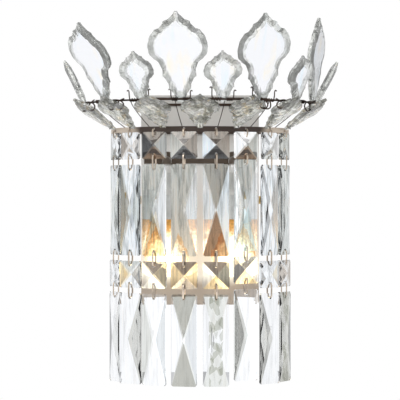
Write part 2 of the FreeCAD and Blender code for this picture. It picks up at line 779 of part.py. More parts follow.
def hung(name, piece, column, height, share):
    """A piece of a strand at its height, turned as it hangs."""
    x, y = column_place(column)
    return placed(name, [piece], x=x, y=y, z=height, turn=f"{facing(column, share)} - 90")


def build_strands():
    """Eight strands of a square, a prism, a square and a prism, joined by wire links."""
    inset = "Sizes.hole_inset"
    square_hole = f"(Sizes.square_side / 2 - {inset})"
    prism_hole = f"(Sizes.prism_length / 2 - {inset})"
    side = "Sizes.square_side"
    square = cut_crystal("square", side, side, "Sizes.square_depth", [square_hole, f"-{square_hole}"])
    long = ("Sizes.prism_width", "Sizes.prism_length", "Sizes.prism_depth")
    prism = cut_crystal("prism", *long, [prism_hole, f"-{prism_hole}"])
    last_prism = cut_crystal("last_prism", *long, [prism_hole])
    ring_reach = f"({RING_HOLE} - {SQUARE_TOP} + {inset})"
    top_link = wire_link("top_link", f"({ring_reach} / 2 - {LINK_REACH})")
    links = {
        gap: wire_link(gap + "_link", f"((Sizes.{gap} / 2 + {inset}) - {LINK_REACH})")
        for gap in ("crystal_gap", "short_gap")
    }
    for column in range(1, COLUMNS + 1):
        gap = "short_gap" if column == HIGH_COLUMN else "crystal_gap"
        prism_top = f"({SQUARE_BOTTOM} - Sizes.{gap})"
        prism_bottom = f"({prism_top} - Sizes.prism_length)"
        square_top = f"({prism_bottom} - Sizes.crystal_gap)"
        square_bottom = f"({square_top} - Sizes.square_side)"
        last_top = f"({square_bottom} - Sizes.crystal_gap)"

        def crystal(label, piece, middle, share):
            publish(hung(f"{label}_{column}", piece, column, middle, share), f"{label}_{column}")

        crystal("upper_square", square, f"{SQUARE_TOP} - Sizes.square_side / 2", 0)
        crystal("upper_prism", prism, f"{prism_top} - Sizes.prism_length / 2", 1 / 3)
        crystal("lower_square", square, f"{square_top} - Sizes.square_side / 2", 2 / 3)
        crystal("lower_prism", last_prism, f"{last_top} - Sizes.prism_length / 2", 1)
        link = links["crystal_gap"]
        upper = [
            hung(f"link_a_{column}", top_link, column, f"{RING_HOLE} - {ring_reach} / 2", 0),
            hung(f"link_b_{column}", links[gap], column, f"({SQUARE_BOTTOM} + {prism_top}) / 2", 0),
        ]
        lower = [
            hung(f"link_c_{column}", link, column, f"({prism_bottom} + {square_top}) / 2", 2 / 3),
            hung(f"link_d_{column}", link, column, f"({square_bottom} + {last_top}) / 2", 2 / 3),
        ]
        publish(placed(f"upper_links_{column}", upper), f"upper_links_{column}")
        publish(placed(f"lower_links_{column}", lower), f"lower_links_{column}")


def leaf_corners(length, width, share, depth):
    """A pendalogue's outline at one depth, foot down and its hole at the origin, shrunk to a share."""
    top = length - size("leaf_inset")
    side = []
    for down, out in LEAF:
        shrunk = LEAF_MIDDLE + (down - LEAF_MIDDLE) * share
        side.append((out * share * width / 2, top - shrunk * length))
    around_it = side + [(-across, up) for across, up in reversed(side)]
    return [FreeCAD.Vector(depth, across, up) for across, up in around_it]


def facet(corners):
    return Part.Face(Part.makePolygon([*corners, corners[0]]))


def skinned(rings):
    """A solid with flat ends and with flat facets from each ring of corners to the next."""
    facets = [facet(rings[0]), facet(rings[-1])]
    for near, far in zip(rings, rings[1:]):
        for i in range(len(near)):
            facets.append(facet([near[i - 1], near[i], far[i], far[i - 1]]))
    return Part.Solid(Part.Shell(facets))


def pendalogue(kind):
    """A leaf of crystal with a flat window on both faces inside a wide bevel, on its narrow foot. The
    window's outline is the leaf's, shrunk, so each facet between the two is flat."""
    length, width, window = size(f"{kind}_length"), size(f"{kind}_width"), size(f"{kind}_window")
    edge, depth = size("leaf_edge") / 2, size("leaf_depth") / 2
    layers = [(window, -depth), (1, -edge), (1, edge), (window, depth)]
    leaf = doc.addObject("Part::Feature", f"{kind}_blank")
    leaf.Shape = skinned([leaf_corners(length, width, share, at) for share, at in layers])
    tool = placed(
        f"{kind}_drill_set",
        [drill(f"{kind}_drill", "2 * Sizes.leaf_depth")],
        x="-Sizes.leaf_depth",
        turn="90",
        axis=(0, 1, 0),
    )
    return cut(f"{kind}_pendalogue", leaf, [tool])


def stood(name, piece, number):
    """Stands a piece on the inside of the crown ring: tilted, leaned outward and turned to its angle.
    The piece's hole comes where its face is nearest to the ring's wire."""
    kind, angle, lean, tilt = UPRIGHTS[number - 1]
    away = f"(Sizes.crown_wire / 2 + Sizes.upright_gap + {leaf_half_at_hole(kind)})"
    tilted = placed(name + "_tilted", [piece], turn=str(tilt), axis=(1, 0, 0))
    leaned = placed(
        name + "_leaned",
        [tilted],
        x=f"Sizes.crown_radius - {away} * cos({lean})",
        z=f"Sizes.crown_height + {away} * sin({lean})",
        turn=str(lean),
        axis=(0, 1, 0),
    )
    return around(name, [leaned], str(angle))


def build_pendalogues():
    """Large and small ones stand in turn round the crown, and small ones lie as a collar under it."""
    leaves = {kind: pendalogue(kind) for kind in ("large", "small")}
    uprights = [stood(f"upright_{i}", leaves[kind], i) for i, (kind, *_) in enumerate(UPRIGHTS, 1)]
    publish(placed("crown_pendalogues", uprights), "crown_pendalogues")
    laid = placed(
        "collar_laid",
        [leaves["small"]],
        x="Sizes.ring_radius + Sizes.collar_reach",
        z=f"{RING_TOP} + Sizes.collar_rise",
        turn="90 - Sizes.collar_slope",
        axis=(0, 1, 0),
    )
    collar = [
        around(f"collar_{i}", [laid], station(COLLARS, "Sizes.collar_step", i))
        for i in range(1, COLLARS + 1)
    ]
    publish(placed("collar_pendalogues", collar), "collar_pendalogues")


# --- lamps -----------------------------------------------------------------------------------------

HOLDER_TOP = "(Sizes.holder_bottom + Sizes.holder_length)"


def beside(name, piece, side, z="0"):
    """A piece built on the middle plane, moved to the left or right lamp."""
    return placed(name, [piece], x=f"{side} * Sizes.lamp_spacing / 2", z=z)


def build_lamp_bracket():
    """A flat bar against the back plate, and two bent tubes through it that carry the lampholders."""
    bar = free_sketch("bar_face", "XZ")
    half, low = "(Sizes.lamp_bar_length / 2)", "(Sizes.lamp_bar_height - Sizes.lamp_bar_width / 2)"
    high = "(Sizes.lamp_bar_height + Sizes.lamp_bar_width / 2)"
    polygon(bar, [(f"-{half}", low), (half, low), (half, high), (f"-{half}", high)])
    eye = "(Sizes.arm_diameter + 2 * Sizes.lamp_bar_width)"
    blank = extruded("bar_blank", bar, "Sizes.lamp_bar_sheet", symmetric=False)
    eyes, bores = [], []
    for side, word in ((-1, "left"), (1, "right")):
        boss = primitive(
            "Part::Cylinder", f"bar_boss_{word}", Radius=f"{eye} / 2", Height="Sizes.lamp_bar_sheet"
        )
        bore = primitive(
            "Part::Cylinder",
            f"bar_bore_{word}",
            Radius="Sizes.arm_diameter / 2 + Sizes.arm_play",
            Height="3 * Sizes.lamp_bar_sheet",
        )
        for piece, group, start in ((boss, eyes, "0"), (bore, bores, "Sizes.lamp_bar_sheet")):
            group.append(
                placed(
                    piece.Name + "_set",
                    [piece],
                    x=f"{side} * Sizes.lamp_spacing / 2",
                    y=start,
                    z=ARM_HEIGHT,
                    turn="90",
                    axis=(1, 0, 0),
                )
            )
    fused = doc.addObject("Part::MultiFuse", "bar_fused")
    fused.Shapes = [blank, *eyes]
    bar_cut = cut("bar_cut", fused, bores)
    bar_set = placed("bar_set", [bar_cut], y="-Sizes.plate_depth")
    arm = build_arm()
    arms = [beside(f"arm_{word}", arm, side) for side, word in ((-1, "left"), (1, "right"))]
    publish(placed("lamp_bracket", [bar_set, *arms]), "lamp_bracket")


def bent_rod(name, diameter):
    """A round rod from inside the back plate forward, round an elbow and down to a lampholder."""
    root = "(Sizes.plate_depth - Sizes.plate_wall - Sizes.arm_root)"
    forward = "(Sizes.lamp_forward - Sizes.arm_bend)"
    low = f"({ARM_HEIGHT} - Sizes.arm_bend)"
    run = rod(name + "_run", TUBE_SIDES, diameter, f"{forward} - {root}")
    drop = rod(name + "_drop", TUBE_SIDES, diameter, f"{low} - {HOLDER_TOP}")
    elbow = bow(name + "_elbow", TUBE_SIDES, "Sizes.arm_bend", diameter, "90")
    bent = doc.addObject("Part::MultiFuse", name)
    bent.Shapes = [
        placed(name + "_run_set", [run], y=f"-{root}", z=ARM_HEIGHT, turn="90", axis=(1, 0, 0)),
        placed(name + "_elbow_set", [elbow], y=f"-{forward}", z=low, turn="180", axis=(1, 0, 1)),
        placed(name + "_drop_set", [drop], y="-Sizes.lamp_forward", z=HOLDER_TOP),
    ]
    return bent


def build_arm():
    """A bent tube."""
    outside = bent_rod("arm_outside", "Sizes.arm_diameter")
    inside = bent_rod("arm_inside", "Sizes.arm_bore")
    return cut("arm", outside, [inside])


def build_lampholders():
    """Two screw lampholders that hang mouth down from the arms."""
    body = doc.addObject("PartDesign::Body", "lampholder")
    half = body_sketch(body, "XZ_Plane", "lampholder_half")
    outer, neck = "(Sizes.holder_diameter / 2)", "(Sizes.holder_neck / 2)"
    bore = "(Sizes.cap_diameter / 2 + Sizes.cap_play)"
    throat = "(Sizes.arm_bore / 2)"
    bottom, skirt = "Sizes.holder_bottom", "(Sizes.holder_bottom + Sizes.holder_skirt)"
    seat = "(Sizes.holder_bottom + Sizes.cap_length + Sizes.cap_play)"
    polygon(
        half,
        [
            (bore, bottom),
            (outer, bottom),
            (outer, skirt),
            (neck, f"({skirt} + ({outer} - {neck}))"),
            (neck, HOLDER_TOP),
            (throat, HOLDER_TOP),
            (throat, f"({seat} + Sizes.holder_well)"),
            (bore, f"({seat} + Sizes.holder_well)"),
        ],
    )
    revolved(body, half, "lampholder_turned")
    pair = [
        placed(f"lampholder_{word}", [body], x=f"{side} * Sizes.lamp_spacing / 2", y="-Sizes.lamp_forward")
        for side, word in ((-1, "left"), (1, "right"))
    ]
    publish(placed("lampholders", pair), "lampholders")


def build_bulbs():
    """Two round bulbs, cap up: a screw cap with its contact, and a glass that swells to a ball."""
    cap = doc.addObject("PartDesign::Body", "bulb_cap")
    half = body_sketch(cap, "XZ_Plane", "cap_half")
    outer, top = "(Sizes.cap_diameter / 2)", "(Sizes.holder_bottom + Sizes.cap_length)"
    shoulder = f"({top} - Sizes.contact_height)"
    contact = "(Sizes.contact_diameter / 2)"
    polygon(
        half,
        [
            ("0", "Sizes.holder_bottom"),
            (outer, "Sizes.holder_bottom"),
            (outer, f"({shoulder} - Sizes.cap_taper)"),
            (contact, shoulder),
            (contact, top),
            ("0", top),
        ],
    )
    revolved(cap, half, "cap_turned")
    glass = doc.addObject("Part::Feature", "bulb_glass")
    glass.Shape = bulb_glass()
    for side, word in ((-1, "left"), (1, "right")):
        pair = placed(
            f"bulb_{word}", [cap, glass], x=f"{side} * Sizes.lamp_spacing / 2", y="-Sizes.lamp_forward"
        )
        publish(pair, f"bulb_{word}")


def bulb_glass():
    """A ball and a tapering neck that meets it in a tangent."""
    radius, neck, top = size("bulb_diameter") / 2, size("bulb_neck") / 2, size("holder_bottom")
    middle = top - size("bulb_length") + radius
    rise = top - middle
    reach = math.hypot(neck, rise)
    tangent = math.atan2(rise, neck) - math.acos(radius / reach)
    bend = (tangent + math.pi / 2) / BULB_BENDS
    turns = [tangent - bend * k for k in range(BULB_BENDS)]
    half = [(neck, top)]
    half += [(radius * math.cos(t), middle + radius * math.sin(t)) for t in turns]
    half.append((radius * math.sin(bend / 2), middle - radius))
    sides = [2 * math.pi * k / BULB_SIDES for k in range(BULB_SIDES)]
    rings = [[FreeCAD.Vector(r * math.cos(a), r * math.sin(a), z) for a in sides] for r, z in half]
    return skinned(rings)


def build_terminal_block():
    """The block inside the back plate, with its leads along the plate to the two arms."""
    block = primitive(
        "Part::Box",
        "block",
        Length="Sizes.block_width",
        Width="Sizes.block_depth",
        Height="Sizes.block_height",
    )
    depth = "(Sizes.plate_depth - Sizes.plate_wall)"
    seated = placed(
        "block_seated",
        [block],
        x="-Sizes.block_width / 2",
        y=f"-{depth}",
        z=f"{ARM_HEIGHT} - Sizes.block_height / 2",
    )
    leads = []
    for side, word in ((-1, "left"), (1, "right")):
        lead = primitive(
            "Part::Cylinder",
            f"lead_{word}",
            Radius="Sizes.lead / 2",
            Height="(Sizes.lamp_spacing - Sizes.block_width) / 2",
        )
        leads.append(
            placed(
                f"lead_{word}_laid",
                [lead],
                x=f"{side} * Sizes.block_width / 2",
                y=f"-{depth} + Sizes.block_depth - Sizes.lead",
                z=ARM_HEIGHT,
                turn=f"{side} * 90",
                axis=(0, 1, 0),
            )
        )
    publish(placed("terminal_block", [seated, *leads]), "terminal_block")


build_back_plate()
build_wall_bracket()
build_side_screws()
build_hanging_ring()
build_crown_ring()
build_strands()
build_pendalogues()
build_lamp_bracket()
build_lampholders()
build_bulbs()
build_terminal_block()
doc.recompute()

for item in doc.Objects:
    if {"Invalid", "Error"} & set(item.State):
        raise RuntimeError(f"{item.Label} did not build: {item.State}")
for piece in nodes:
    shape = piece.Shape
    if shape.isNull() or not shape.isValid() or not shape.Solids:
        raise RuntimeError(f"{piece.Label} has no sound solid")

os.makedirs("parts", exist_ok=True)
for piece in nodes:
    piece.Shape.exportStep(f"parts/{piece.Label}.step")
print(len(nodes), "nodes,", sum(len(piece.Shape.Solids) for piece in nodes), "solids")
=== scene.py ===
"""Dresses the crystal wall sconce: cut crystals, bent wires, metalwork, lamps and a white studio.

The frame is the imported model, in metres, with the wall at Y = 0, the sconce facing -Y and +Z up.
What stands round the ring is placed in a radial frame: X outward, Y along the ring, Z up.
"""
import math
import random

import bmesh
import bpy
from bpy.props import FloatProperty, FloatVectorProperty, PointerProperty
from bpy.types import Operator, Panel, PropertyGroup
from mathutils import Matrix, Vector


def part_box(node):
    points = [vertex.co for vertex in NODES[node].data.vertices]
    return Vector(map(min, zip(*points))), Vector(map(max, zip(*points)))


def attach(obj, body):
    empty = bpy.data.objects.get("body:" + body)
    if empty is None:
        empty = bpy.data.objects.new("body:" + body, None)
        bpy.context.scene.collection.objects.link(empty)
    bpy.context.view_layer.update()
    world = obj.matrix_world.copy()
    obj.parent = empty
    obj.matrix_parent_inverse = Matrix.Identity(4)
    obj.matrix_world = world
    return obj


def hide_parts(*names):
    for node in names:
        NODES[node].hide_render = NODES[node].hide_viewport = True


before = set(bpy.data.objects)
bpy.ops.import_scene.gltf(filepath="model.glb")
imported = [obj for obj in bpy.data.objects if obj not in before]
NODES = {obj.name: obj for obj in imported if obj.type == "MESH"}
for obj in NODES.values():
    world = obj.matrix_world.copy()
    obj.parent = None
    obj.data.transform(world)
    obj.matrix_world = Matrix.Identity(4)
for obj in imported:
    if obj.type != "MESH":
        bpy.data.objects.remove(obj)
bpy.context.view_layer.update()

bl_info = {
    "name": "Crystal Wall Sconce",
    "version": (1, 0, 0),
    "blender": (4, 5, 0),
    "location": "View3D > Sidebar > Sconce",
    "description": "Dresses a wall sconce of cut crystal strands under a crown of crystal leaves",
    "category": "Add Mesh",
}

FIXTURE = "fixture"
STRANDS = 8

# The rings: their axis off the wall, and where the solids have them.
RING_AXIS = Vector((0, -0.025, 0))
RING_RADIUS = 0.088
RING_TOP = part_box("hanging_ring")[1][2]
PLATE_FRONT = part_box("back_plate")[0][1]
CROWN_RADIUS = 0.118
CROWN_HEIGHT = 0.095
CROWN_WIRE = 0.0018
HOOP_REACH = 99  # degrees from straight ahead to the hoop's ends
HOOP_STEP = 6  # degrees between the points of its path

# Crystal leaves: length, width and the share of the outline that the flat window takes.
LEAVES = {"large": (0.089, 0.057, 0.78), "small": (0.051, 0.037, 0.60)}
LEAF_EDGE = 0.0022  # thickness at the rim
LEAF_DEPTH = 0.007  # thickness between the two windows
LEAF_INSET = 0.0042  # from the foot up to the middle of the hole
LEAF_MIDDLE = 0.42  # the window's middle, as a share of the length from the tip
LEAF_GAP = 0.0004  # between a leaf and the hoop
LEAF_NOTCH = 0.0004  # how deep the small scallops along the edge are
ARC_STEPS = 6  # pieces of each curved stretch of the outline
NOTCHED_STEPS = (1, 4)  # those of its points that lie in a scallop
THIN = 1e-6  # less than this apart is the same place
FLAT = 0.999  # a window's normal points this much along X

# Half of a leaf's outline from its tip: how far down, how far out, and how far the stretch to the
# next corner sags inward, as shares of the length, half the width and that stretch.
LEAF_CORNERS = [
    (0.0, 0.05, 0.10),
    (0.109, 0.44, 0.13),
    (0.202, 0.76, -0.10),
    (0.386, 1.0, -0.16),
    (0.532, 0.735, 0.12),
    (0.708, 0.56, 0.10),
    (0.85, 0.356, 0.06),
    (0.936, 0.18, 0.0),
    (1.0, 0.13, 0.0),
]
# Each upright leaf: its kind, its angle round the ring, its lean outward and its tilt to the left.
UPRIGHTS = [
    ("small", -86, 26, -5),
    ("large", -52, 32, -12),
    ("small", -29, 20, 0),
    ("large", -9, 22, 0),
    ("small", 11, 22, 5),
    ("large", 31, 20, 10),
    ("small", 54, 22, 17),
    ("large", 74, 8, 14),
    ("small", 90, 28, 5),
]

# The collar of small leaves round the hanging ring.
COLLAR_COUNT = 7
COLLAR_STEP = 22.5  # degrees from leaf to leaf
COLLAR_SLOPE = 33.94  # degrees from level
COLLAR_REACH = 0.0063  # from the ring out to a leaf's hole
COLLAR_RISE = 0.0014  # from the ring's top up to it
HOOK_END = (-0.0035, 0, 0.0045)  # where the wire through a leaf's hole ends, from that hole
HOOK_BEND = 0.0004  # how far up the leaf from the hole it bends

# The crown's wires.
STAY_COUNT = 8
STAY_STEP = 22.5  # degrees from stay to stay
STAY_SHARE = 0.75  # the stays' wire as a share of the ties'
STAY_BEND = (0.001, 0.005)  # how far inside and under its upper end a stay bends
TIE_TURNS = 3.5
TIE_OFFSET = 0.0022  # from a leaf's pin to the first turn of the tie beside it
TIE_PITCH = (0.0018, 0.0034)  # from turn to turn, at least and at most
TAILS_TO = 33  # degrees from straight ahead up to which the ties' ends stand up
TAIL_HEIGHT = (0.008, 0.013)  # how far they do, at least and at most
# Such an end's points: how far out, how far sideways, and the share of its height.
TAIL = [(0.0006, 0.0006, 0.4), (0.0010, 0.0004, 0.8), (0.0012, 0.0014, 1.0), (0.0012, 0.0026, 0.86)]
COIL_STEPS = 8  # points in a turn of a coil or a curl

# The loose wires: between which distances from the middle they loop along the hoop.
CURLS = [(-0.112, -0.099), (-0.085, -0.070), (0.056, 0.064), (0.070, 0.084), (0.097, 0.109)]
CURL_TURNS = 2
CURL_RADIUS = 0.0050
CURL_SHARE = 1.2  # their wire as a share of the ties'
CURL_SPREAD = (0.85, 1.15)  # how much their radius varies
CURL_OFFSET = 0.0038  # how far in front of the hoop and under it they lie
CURL_SWAY = 0.0008  # how much that distance in front varies

# Two thin dark bars across the top of the plate, as height and thickness; the upper one is painted shade
# along the plate's top edge.
DARK_BARS = [(0.0955, 0.0024), (0.1020, 0.0014)]
BAR_WIDTH = 0.113
BAR_DEPTH = 0.0014
BAR_GAP = 0.0008  # from the plate's front to the rail's middle

# The links.
CRYSTAL_INSET = 0.0045  # from a crystal's end to the middle of its hole
LINK_SLACK = 0.0006  # how far past that middle a link's end lies
LINK_SEGMENTS = 20
LINK_ROUNDING = 0.0002
SHARP = 1.2  # radians, above which a link's edge is rounded

# Painted reflections and painted shade: what the crystals of the strands show of the room, painted into their
# colour as one colour for each facet.
FACET_REFLECTIONS = {
    "w": (0.96, 0.965, 0.985),  # clear
    "s": (0.80, 0.81, 0.79),  # silver
    "g": (0.52, 0.52, 0.48),  # grey
    "d": (0.17, 0.175, 0.19),  # dark
    "k": (0.60, 0.59, 0.56),  # smoky
    "b": (0.86, 0.93, 1.00),  # blue
    "p": (0.94, 0.97, 1.00),  # palest blue
    "c": (0.80, 0.95, 0.97),  # cyan
    "t": (0.62, 0.56, 0.51),  # taupe
    "n": (0.46, 0.30, 0.19),  # brown
    "a": (0.98, 0.82, 0.56),  # amber
}
# The painted reflection on the top, right, bottom and left facet of each crystal, strand by strand from the
# left.
PAINTED_FACETS = {
    "upper_square": "wwgw wwwt tsnd ttds ttdb wsnw wwsw sgws",
    "upper_prism": "wsws wbwg swas swss kbnw swcs wwww swsg",
    "lower_square": "wwww swwa taww tata tgaw swat wwww wtwt",
    "lower_prism": "wsww wgww wpws gpgw swsw wpwg wwwg gwgg",
}
# Where those four start, as shares of a turn, and where the left one starts again.
FACET_STARTS = (0.625, 0.375, 0.125, 0.0)
LEFT_AGAIN = 0.875
# How strong the painted coloured glints in fine streaks, with the ripples under them, and the painted
# highlights of each kind of crystal are.
GLINTS_AND_HIGHLIGHTS = {
    "upper_square": (0.6, 1.0),
    "upper_prism": (0.9, 0.7),
    "lower_square": (0.6, 0.2),
    "lower_prism": (0.3, 0.1),
}
# Painted highlights: how strongly a facet glows white, standing for the studio's lamps that it shows, by its
# tone.
PAINTED_HIGHLIGHTS = {"w": 0.24, "b": 0.22, "p": 2.0, "c": 0.14, "s": 0.08, "t": 0.03}
BEFORE_PLATE = (3, 4, 5, 6)  # the strands that hang before the plate, whose facets shine
# Painted coloured glints and painted shade in streaks down a crystal, from dark over pale blue to warm.
PAINTED_STREAKS = [
    (0.36, (0.30, 0.32, 0.32)),
    (0.44, (0.70, 0.76, 0.78)),
    (0.50, (1, 1, 1)),
    (0.56, (0.84, 0.94, 1)),
    (0.60, (1, 1, 1)),
    (0.66, (1, 0.95, 0.86)),
]
# Crystals whose middle, to this share of their width, is broken up by painted flecks of grey shade and white
# light, which stand for their cut back seen through them.
FLECKED = ("lower_prism_5", "lower_prism_8")
FLECK_REACH = 0.26
PAINTED_FLECKS = [(0, (0.52, 0.53, 0.47)), (0.36, (1, 1, 1))]
SHARD_SCALE = 210  # how fine the flecks and the collar's shards are

# How much light goes straight through a leaf's bevel and through a collar leaf.
BEVEL_CLARITY = 0.76
COLLAR_CLARITY = 0.88
CRYSTAL_IOR = 1.56

# Bands of colour along an axis, as the distance and the colour's name in SconceColours.
# The plate: aged brown at the bottom, pale in the middle, and a painted shadow of the collar over its top.
PLATE_BANDS = [
    (-0.096, "plate_aged"),
    (-0.086, "plate_aged"),
    (-0.076, "plate"),
    (0.046, "plate"),
    (0.062, "plate_painted_shadow"),
    (0.100, "plate_painted_shadow"),
]
# The hanging ring: a painted reflection, dark in the middle and pale towards the sides.
RING_REFLECTION_BANDS = [(0, "dark_wire"), (0.058, "dark_wire"), (0.066, "link_metal")]
ARM_BANDS = [(0.03, "plate"), (0.033, "plate"), (0.036, "lamp_metal")]

# The bulbs' glow, over the distance from the filament as a share of how far it reaches.
GLOW_EDGES = (1.6, -0.1)  # from its cold edge to its hottest
GLOW_MOTTLE = 1.1  # how much the mottling takes off that distance
GLOW_STRENGTH = (0.75, 2.6)  # from its faint parts to its strong ones
GLOW_SPECKS = (0.45, 1.1)  # how much the specks dim or strengthen it

# The studio: what glass and metal show of the room.
PANEL_COUNT = 6  # pale panels all round, with grey between them
PANEL_EDGES = (-0.35, 0.15)  # where grey turns pale on a wave from -1 to 1
PANEL_LEVELS = (0.45, 1.0)  # how bright the grey and the pale are
LOW_EDGES = (-0.45, -0.15)  # how far below level the room is dim, as a share of straight down
LOW_LEVELS = (0.35, 1.0)  # how bright it is there and above

# The lamp and the camera.
KEY_PLACE = Vector((-0.9, -1.6, 1.3))
KEY_POWER = 18  # watts
KEY_SIDE = 1.2
SENSOR_WIDTH = 36  # millimetres
VIEW_DEPTH = 100


class SconceSizes(PropertyGroup):
    """Sizes of the pieces that are modelled here, and the camera."""

    link_width: FloatProperty(
        name="Link Width", description="Width of a link's flat wire",
        default=0.0017, unit="LENGTH",
    )
    link_thickness: FloatProperty(
        name="Link Thickness", description="Thickness of a link's wire", default=0.0007, unit="LENGTH"
    )
    link_reach: FloatProperty(
        name="Link Reach", description="Half of a link's depth, front to back", default=0.0032, unit="LENGTH"
    )
    tie_wire: FloatProperty(
        name="Tie Wire", description="Diameter of the wire that ties the leaves",
        default=0.0011, unit="LENGTH",
    )
    filament_drop: FloatProperty(
        name="Filament Drop", description="From a lampholder's mouth down to the middle of the glow",
        default=0.048, unit="LENGTH",
    )
    filament_width: FloatProperty(
        name="Filament Width", description="How far the glow reaches sideways", default=0.016, unit="LENGTH"
    )
    filament_height: FloatProperty(
        name="Filament Height", description="How far the glow reaches upward", default=0.026, unit="LENGTH"
    )
    card_side: FloatProperty(
        name="Card Side", description="Side of the white card behind the sconce", default=0.44, unit="LENGTH"
    )
    card_distance: FloatProperty(
        name="Card Distance", description="From the wall back to the card", default=0.5, unit="LENGTH"
    )
    camera_distance: FloatProperty(
        name="Camera Distance", description="From the wall to the camera", default=2.0, unit="LENGTH"
    )
    camera_lens: FloatProperty(
        name="Camera Lens", description="Focal length in millimetres", default=177.8, min=10
    )
    floor_drop: FloatProperty(
        name="Floor Drop", description="How far the floor lies under the frame's origin", default=0.62,
        unit="LENGTH",
    )
    floor_side: FloatProperty(
        name="Floor Side", description="Side of the square floor", default=7, unit="LENGTH"
    )


class SconceColours(PropertyGroup):
    """Colours of the finishes."""

    crystal: FloatVectorProperty(
        name="Crystal", description="Clear cut crystal", default=(0.955, 0.962, 0.98), subtype="COLOR"
    )
    bevel: FloatVectorProperty(
        name="Cut Bevel", description="Wavy bevel of a leaf", default=(0.92, 0.94, 0.90), subtype="COLOR"
    )
    dark_wire: FloatVectorProperty(
        name="Dark Wire", description="Aged iron wire", default=(0.055, 0.038, 0.030), subtype="COLOR"
    )
    link_metal: FloatVectorProperty(
        name="Link Metal", description="Nickel-brass of the links",
        default=(0.60, 0.51, 0.42), subtype="COLOR",
    )
    plate: FloatVectorProperty(
        name="Back Plate", description="Nickelled plate", default=(0.90, 0.885, 0.86), subtype="COLOR"
    )
    # Painted shadow of the collar over the plate's top.
    plate_painted_shadow: FloatVectorProperty(
        name="Painted Plate Shadow", description="Painted shadow over its top", default=(0.60, 0.58, 0.55), subtype="COLOR"
    )
    plate_aged: FloatVectorProperty(
        name="Aged Plate", description="Its browned bottom", default=(0.46, 0.40, 0.355), subtype="COLOR"
    )
    lamp_metal: FloatVectorProperty(
        name="Lamp Metal", description="Bronzed lamp bar", default=(0.10, 0.075, 0.055), subtype="COLOR"
    )
    holder: FloatVectorProperty(
        name="Lampholder", description="Nickel lampholders", default=(0.66, 0.65, 0.62), subtype="COLOR"
    )
    zinc: FloatVectorProperty(
        name="Zinc", description="Wall bracket", default=(0.55, 0.55, 0.54), subtype="COLOR"
    )
    brass: FloatVectorProperty(
        name="Brass", description="Side screws", default=(0.60, 0.42, 0.18), subtype="COLOR"
    )
    terminal: FloatVectorProperty(
        name="Terminal Block", description="Pale plastic", default=(0.82, 0.80, 0.74), subtype="COLOR"
    )
    glow_deep: FloatVectorProperty(
        name="Deep Glow", description="Amber near the cap", default=(0.66, 0.33, 0.08), subtype="COLOR"
    )
    glow_hot: FloatVectorProperty(
        name="Hot Glow", description="Middle of the lamp", default=(1.0, 0.86, 0.58), subtype="COLOR"
    )


# --- materials ----------------------------------------------------------------------------------


def new_finish(name):
    """A material with its node tree and its Principled node."""
    finish = bpy.data.materials.new(name)
    finish.use_nodes = True
    tree = finish.node_tree
    return finish, tree, tree.nodes["Principled BSDF"]


def add(tree, kind, **traits):
    """A new node with its traits set."""
    node = tree.nodes.new(kind)
    for name, value in traits.items():
        setattr(node, name, value)
    return node


def feed(tree, socket, value):
    """Links a socket to another one, or sets it to a number."""
    if isinstance(value, bpy.types.NodeSocket):
        tree.links.new(value, socket)
    else:
        socket.default_value = value


def reckon(tree, operation, *values):
    """One step of arithmetic on sockets and numbers."""
    node = add(tree, "ShaderNodeMath", operation=operation)
    for socket, value in zip(node.inputs, values):
        feed(tree, socket, value)
    return node.outputs["Value"]


def map_range(tree, value, source, target=(0.0, 1.0), interpolation="LINEAR"):
    """A value taken from one range to another and held within it."""
    node = add(tree, "ShaderNodeMapRange", interpolation_type=interpolation)
    names = ("From Min", "From Max", "To Min", "To Max")
    for name, limit in zip(names, (*source, *target)):
        node.inputs[name].default_value = limit
    tree.links.new(value, node.inputs["Value"])
    return node.outputs["Result"]


def blended(tree, factor, first, second):
    """A number between two others."""
    node = add(tree, "ShaderNodeMix", data_type="FLOAT")
    for name, value in (("Factor", factor), ("A", first), ("B", second)):
        feed(tree, node.inputs[name], value)
    return node.outputs["Result"]


def multiplied(tree, first, second, factor):
    """A colour multiplied by another, in full or in part."""
    node = add(tree, "ShaderNodeMix", data_type="RGBA", blend_type="MULTIPLY")
    feed(tree, node.inputs["Factor"], factor)
    colours = [socket for socket in node.inputs if socket.type == "RGBA"]
    tree.links.new(first, colours[0])
    tree.links.new(second, colours[1])
    return next(socket for socket in node.outputs if socket.type == "RGBA")


def split(tree, vector):
    """The X, Y and Z of a vector."""
    node = add(tree, "ShaderNodeSeparateXYZ")
    tree.links.new(vector, node.inputs["Vector"])
    return node.outputs


def object_place(tree, scale=(1, 1, 1)):
    """Object coordinates, stretched."""
    place = add(tree, "ShaderNodeTexCoord")
    mapping = add(tree, "ShaderNodeMapping")
    mapping.inputs["Scale"].default_value = scale
    tree.links.new(place.outputs["Object"], mapping.inputs["Vector"])
    return mapping.outputs["Vector"]


def noise(tree, vector, scale, detail=2.0, roughness=0.5):
    """Cloudy noise."""
    node = add(tree, "ShaderNodeTexNoise")
    node.inputs["Scale"].default_value = scale
    node.inputs["Detail"].default_value = detail
    node.inputs["Roughness"].default_value = roughness
    tree.links.new(vector, node.inputs["Vector"])
    return node.outputs["Fac"]


def cells(tree, vector, scale):
    """A node that breaks space up into cells."""
    node = add(tree, "ShaderNodeTexVoronoi", feature="F1")
    node.inputs["Scale"].default_value = scale
    tree.links.new(vector, node.inputs["Vector"])
    return node


def drawn_by_cell(tree, node):
    """A random number for each cell."""
    parts = add(tree, "ShaderNodeSeparateColor")
    tree.links.new(node.outputs["Color"], parts.inputs["Color"])
    return parts.outputs["Red"]


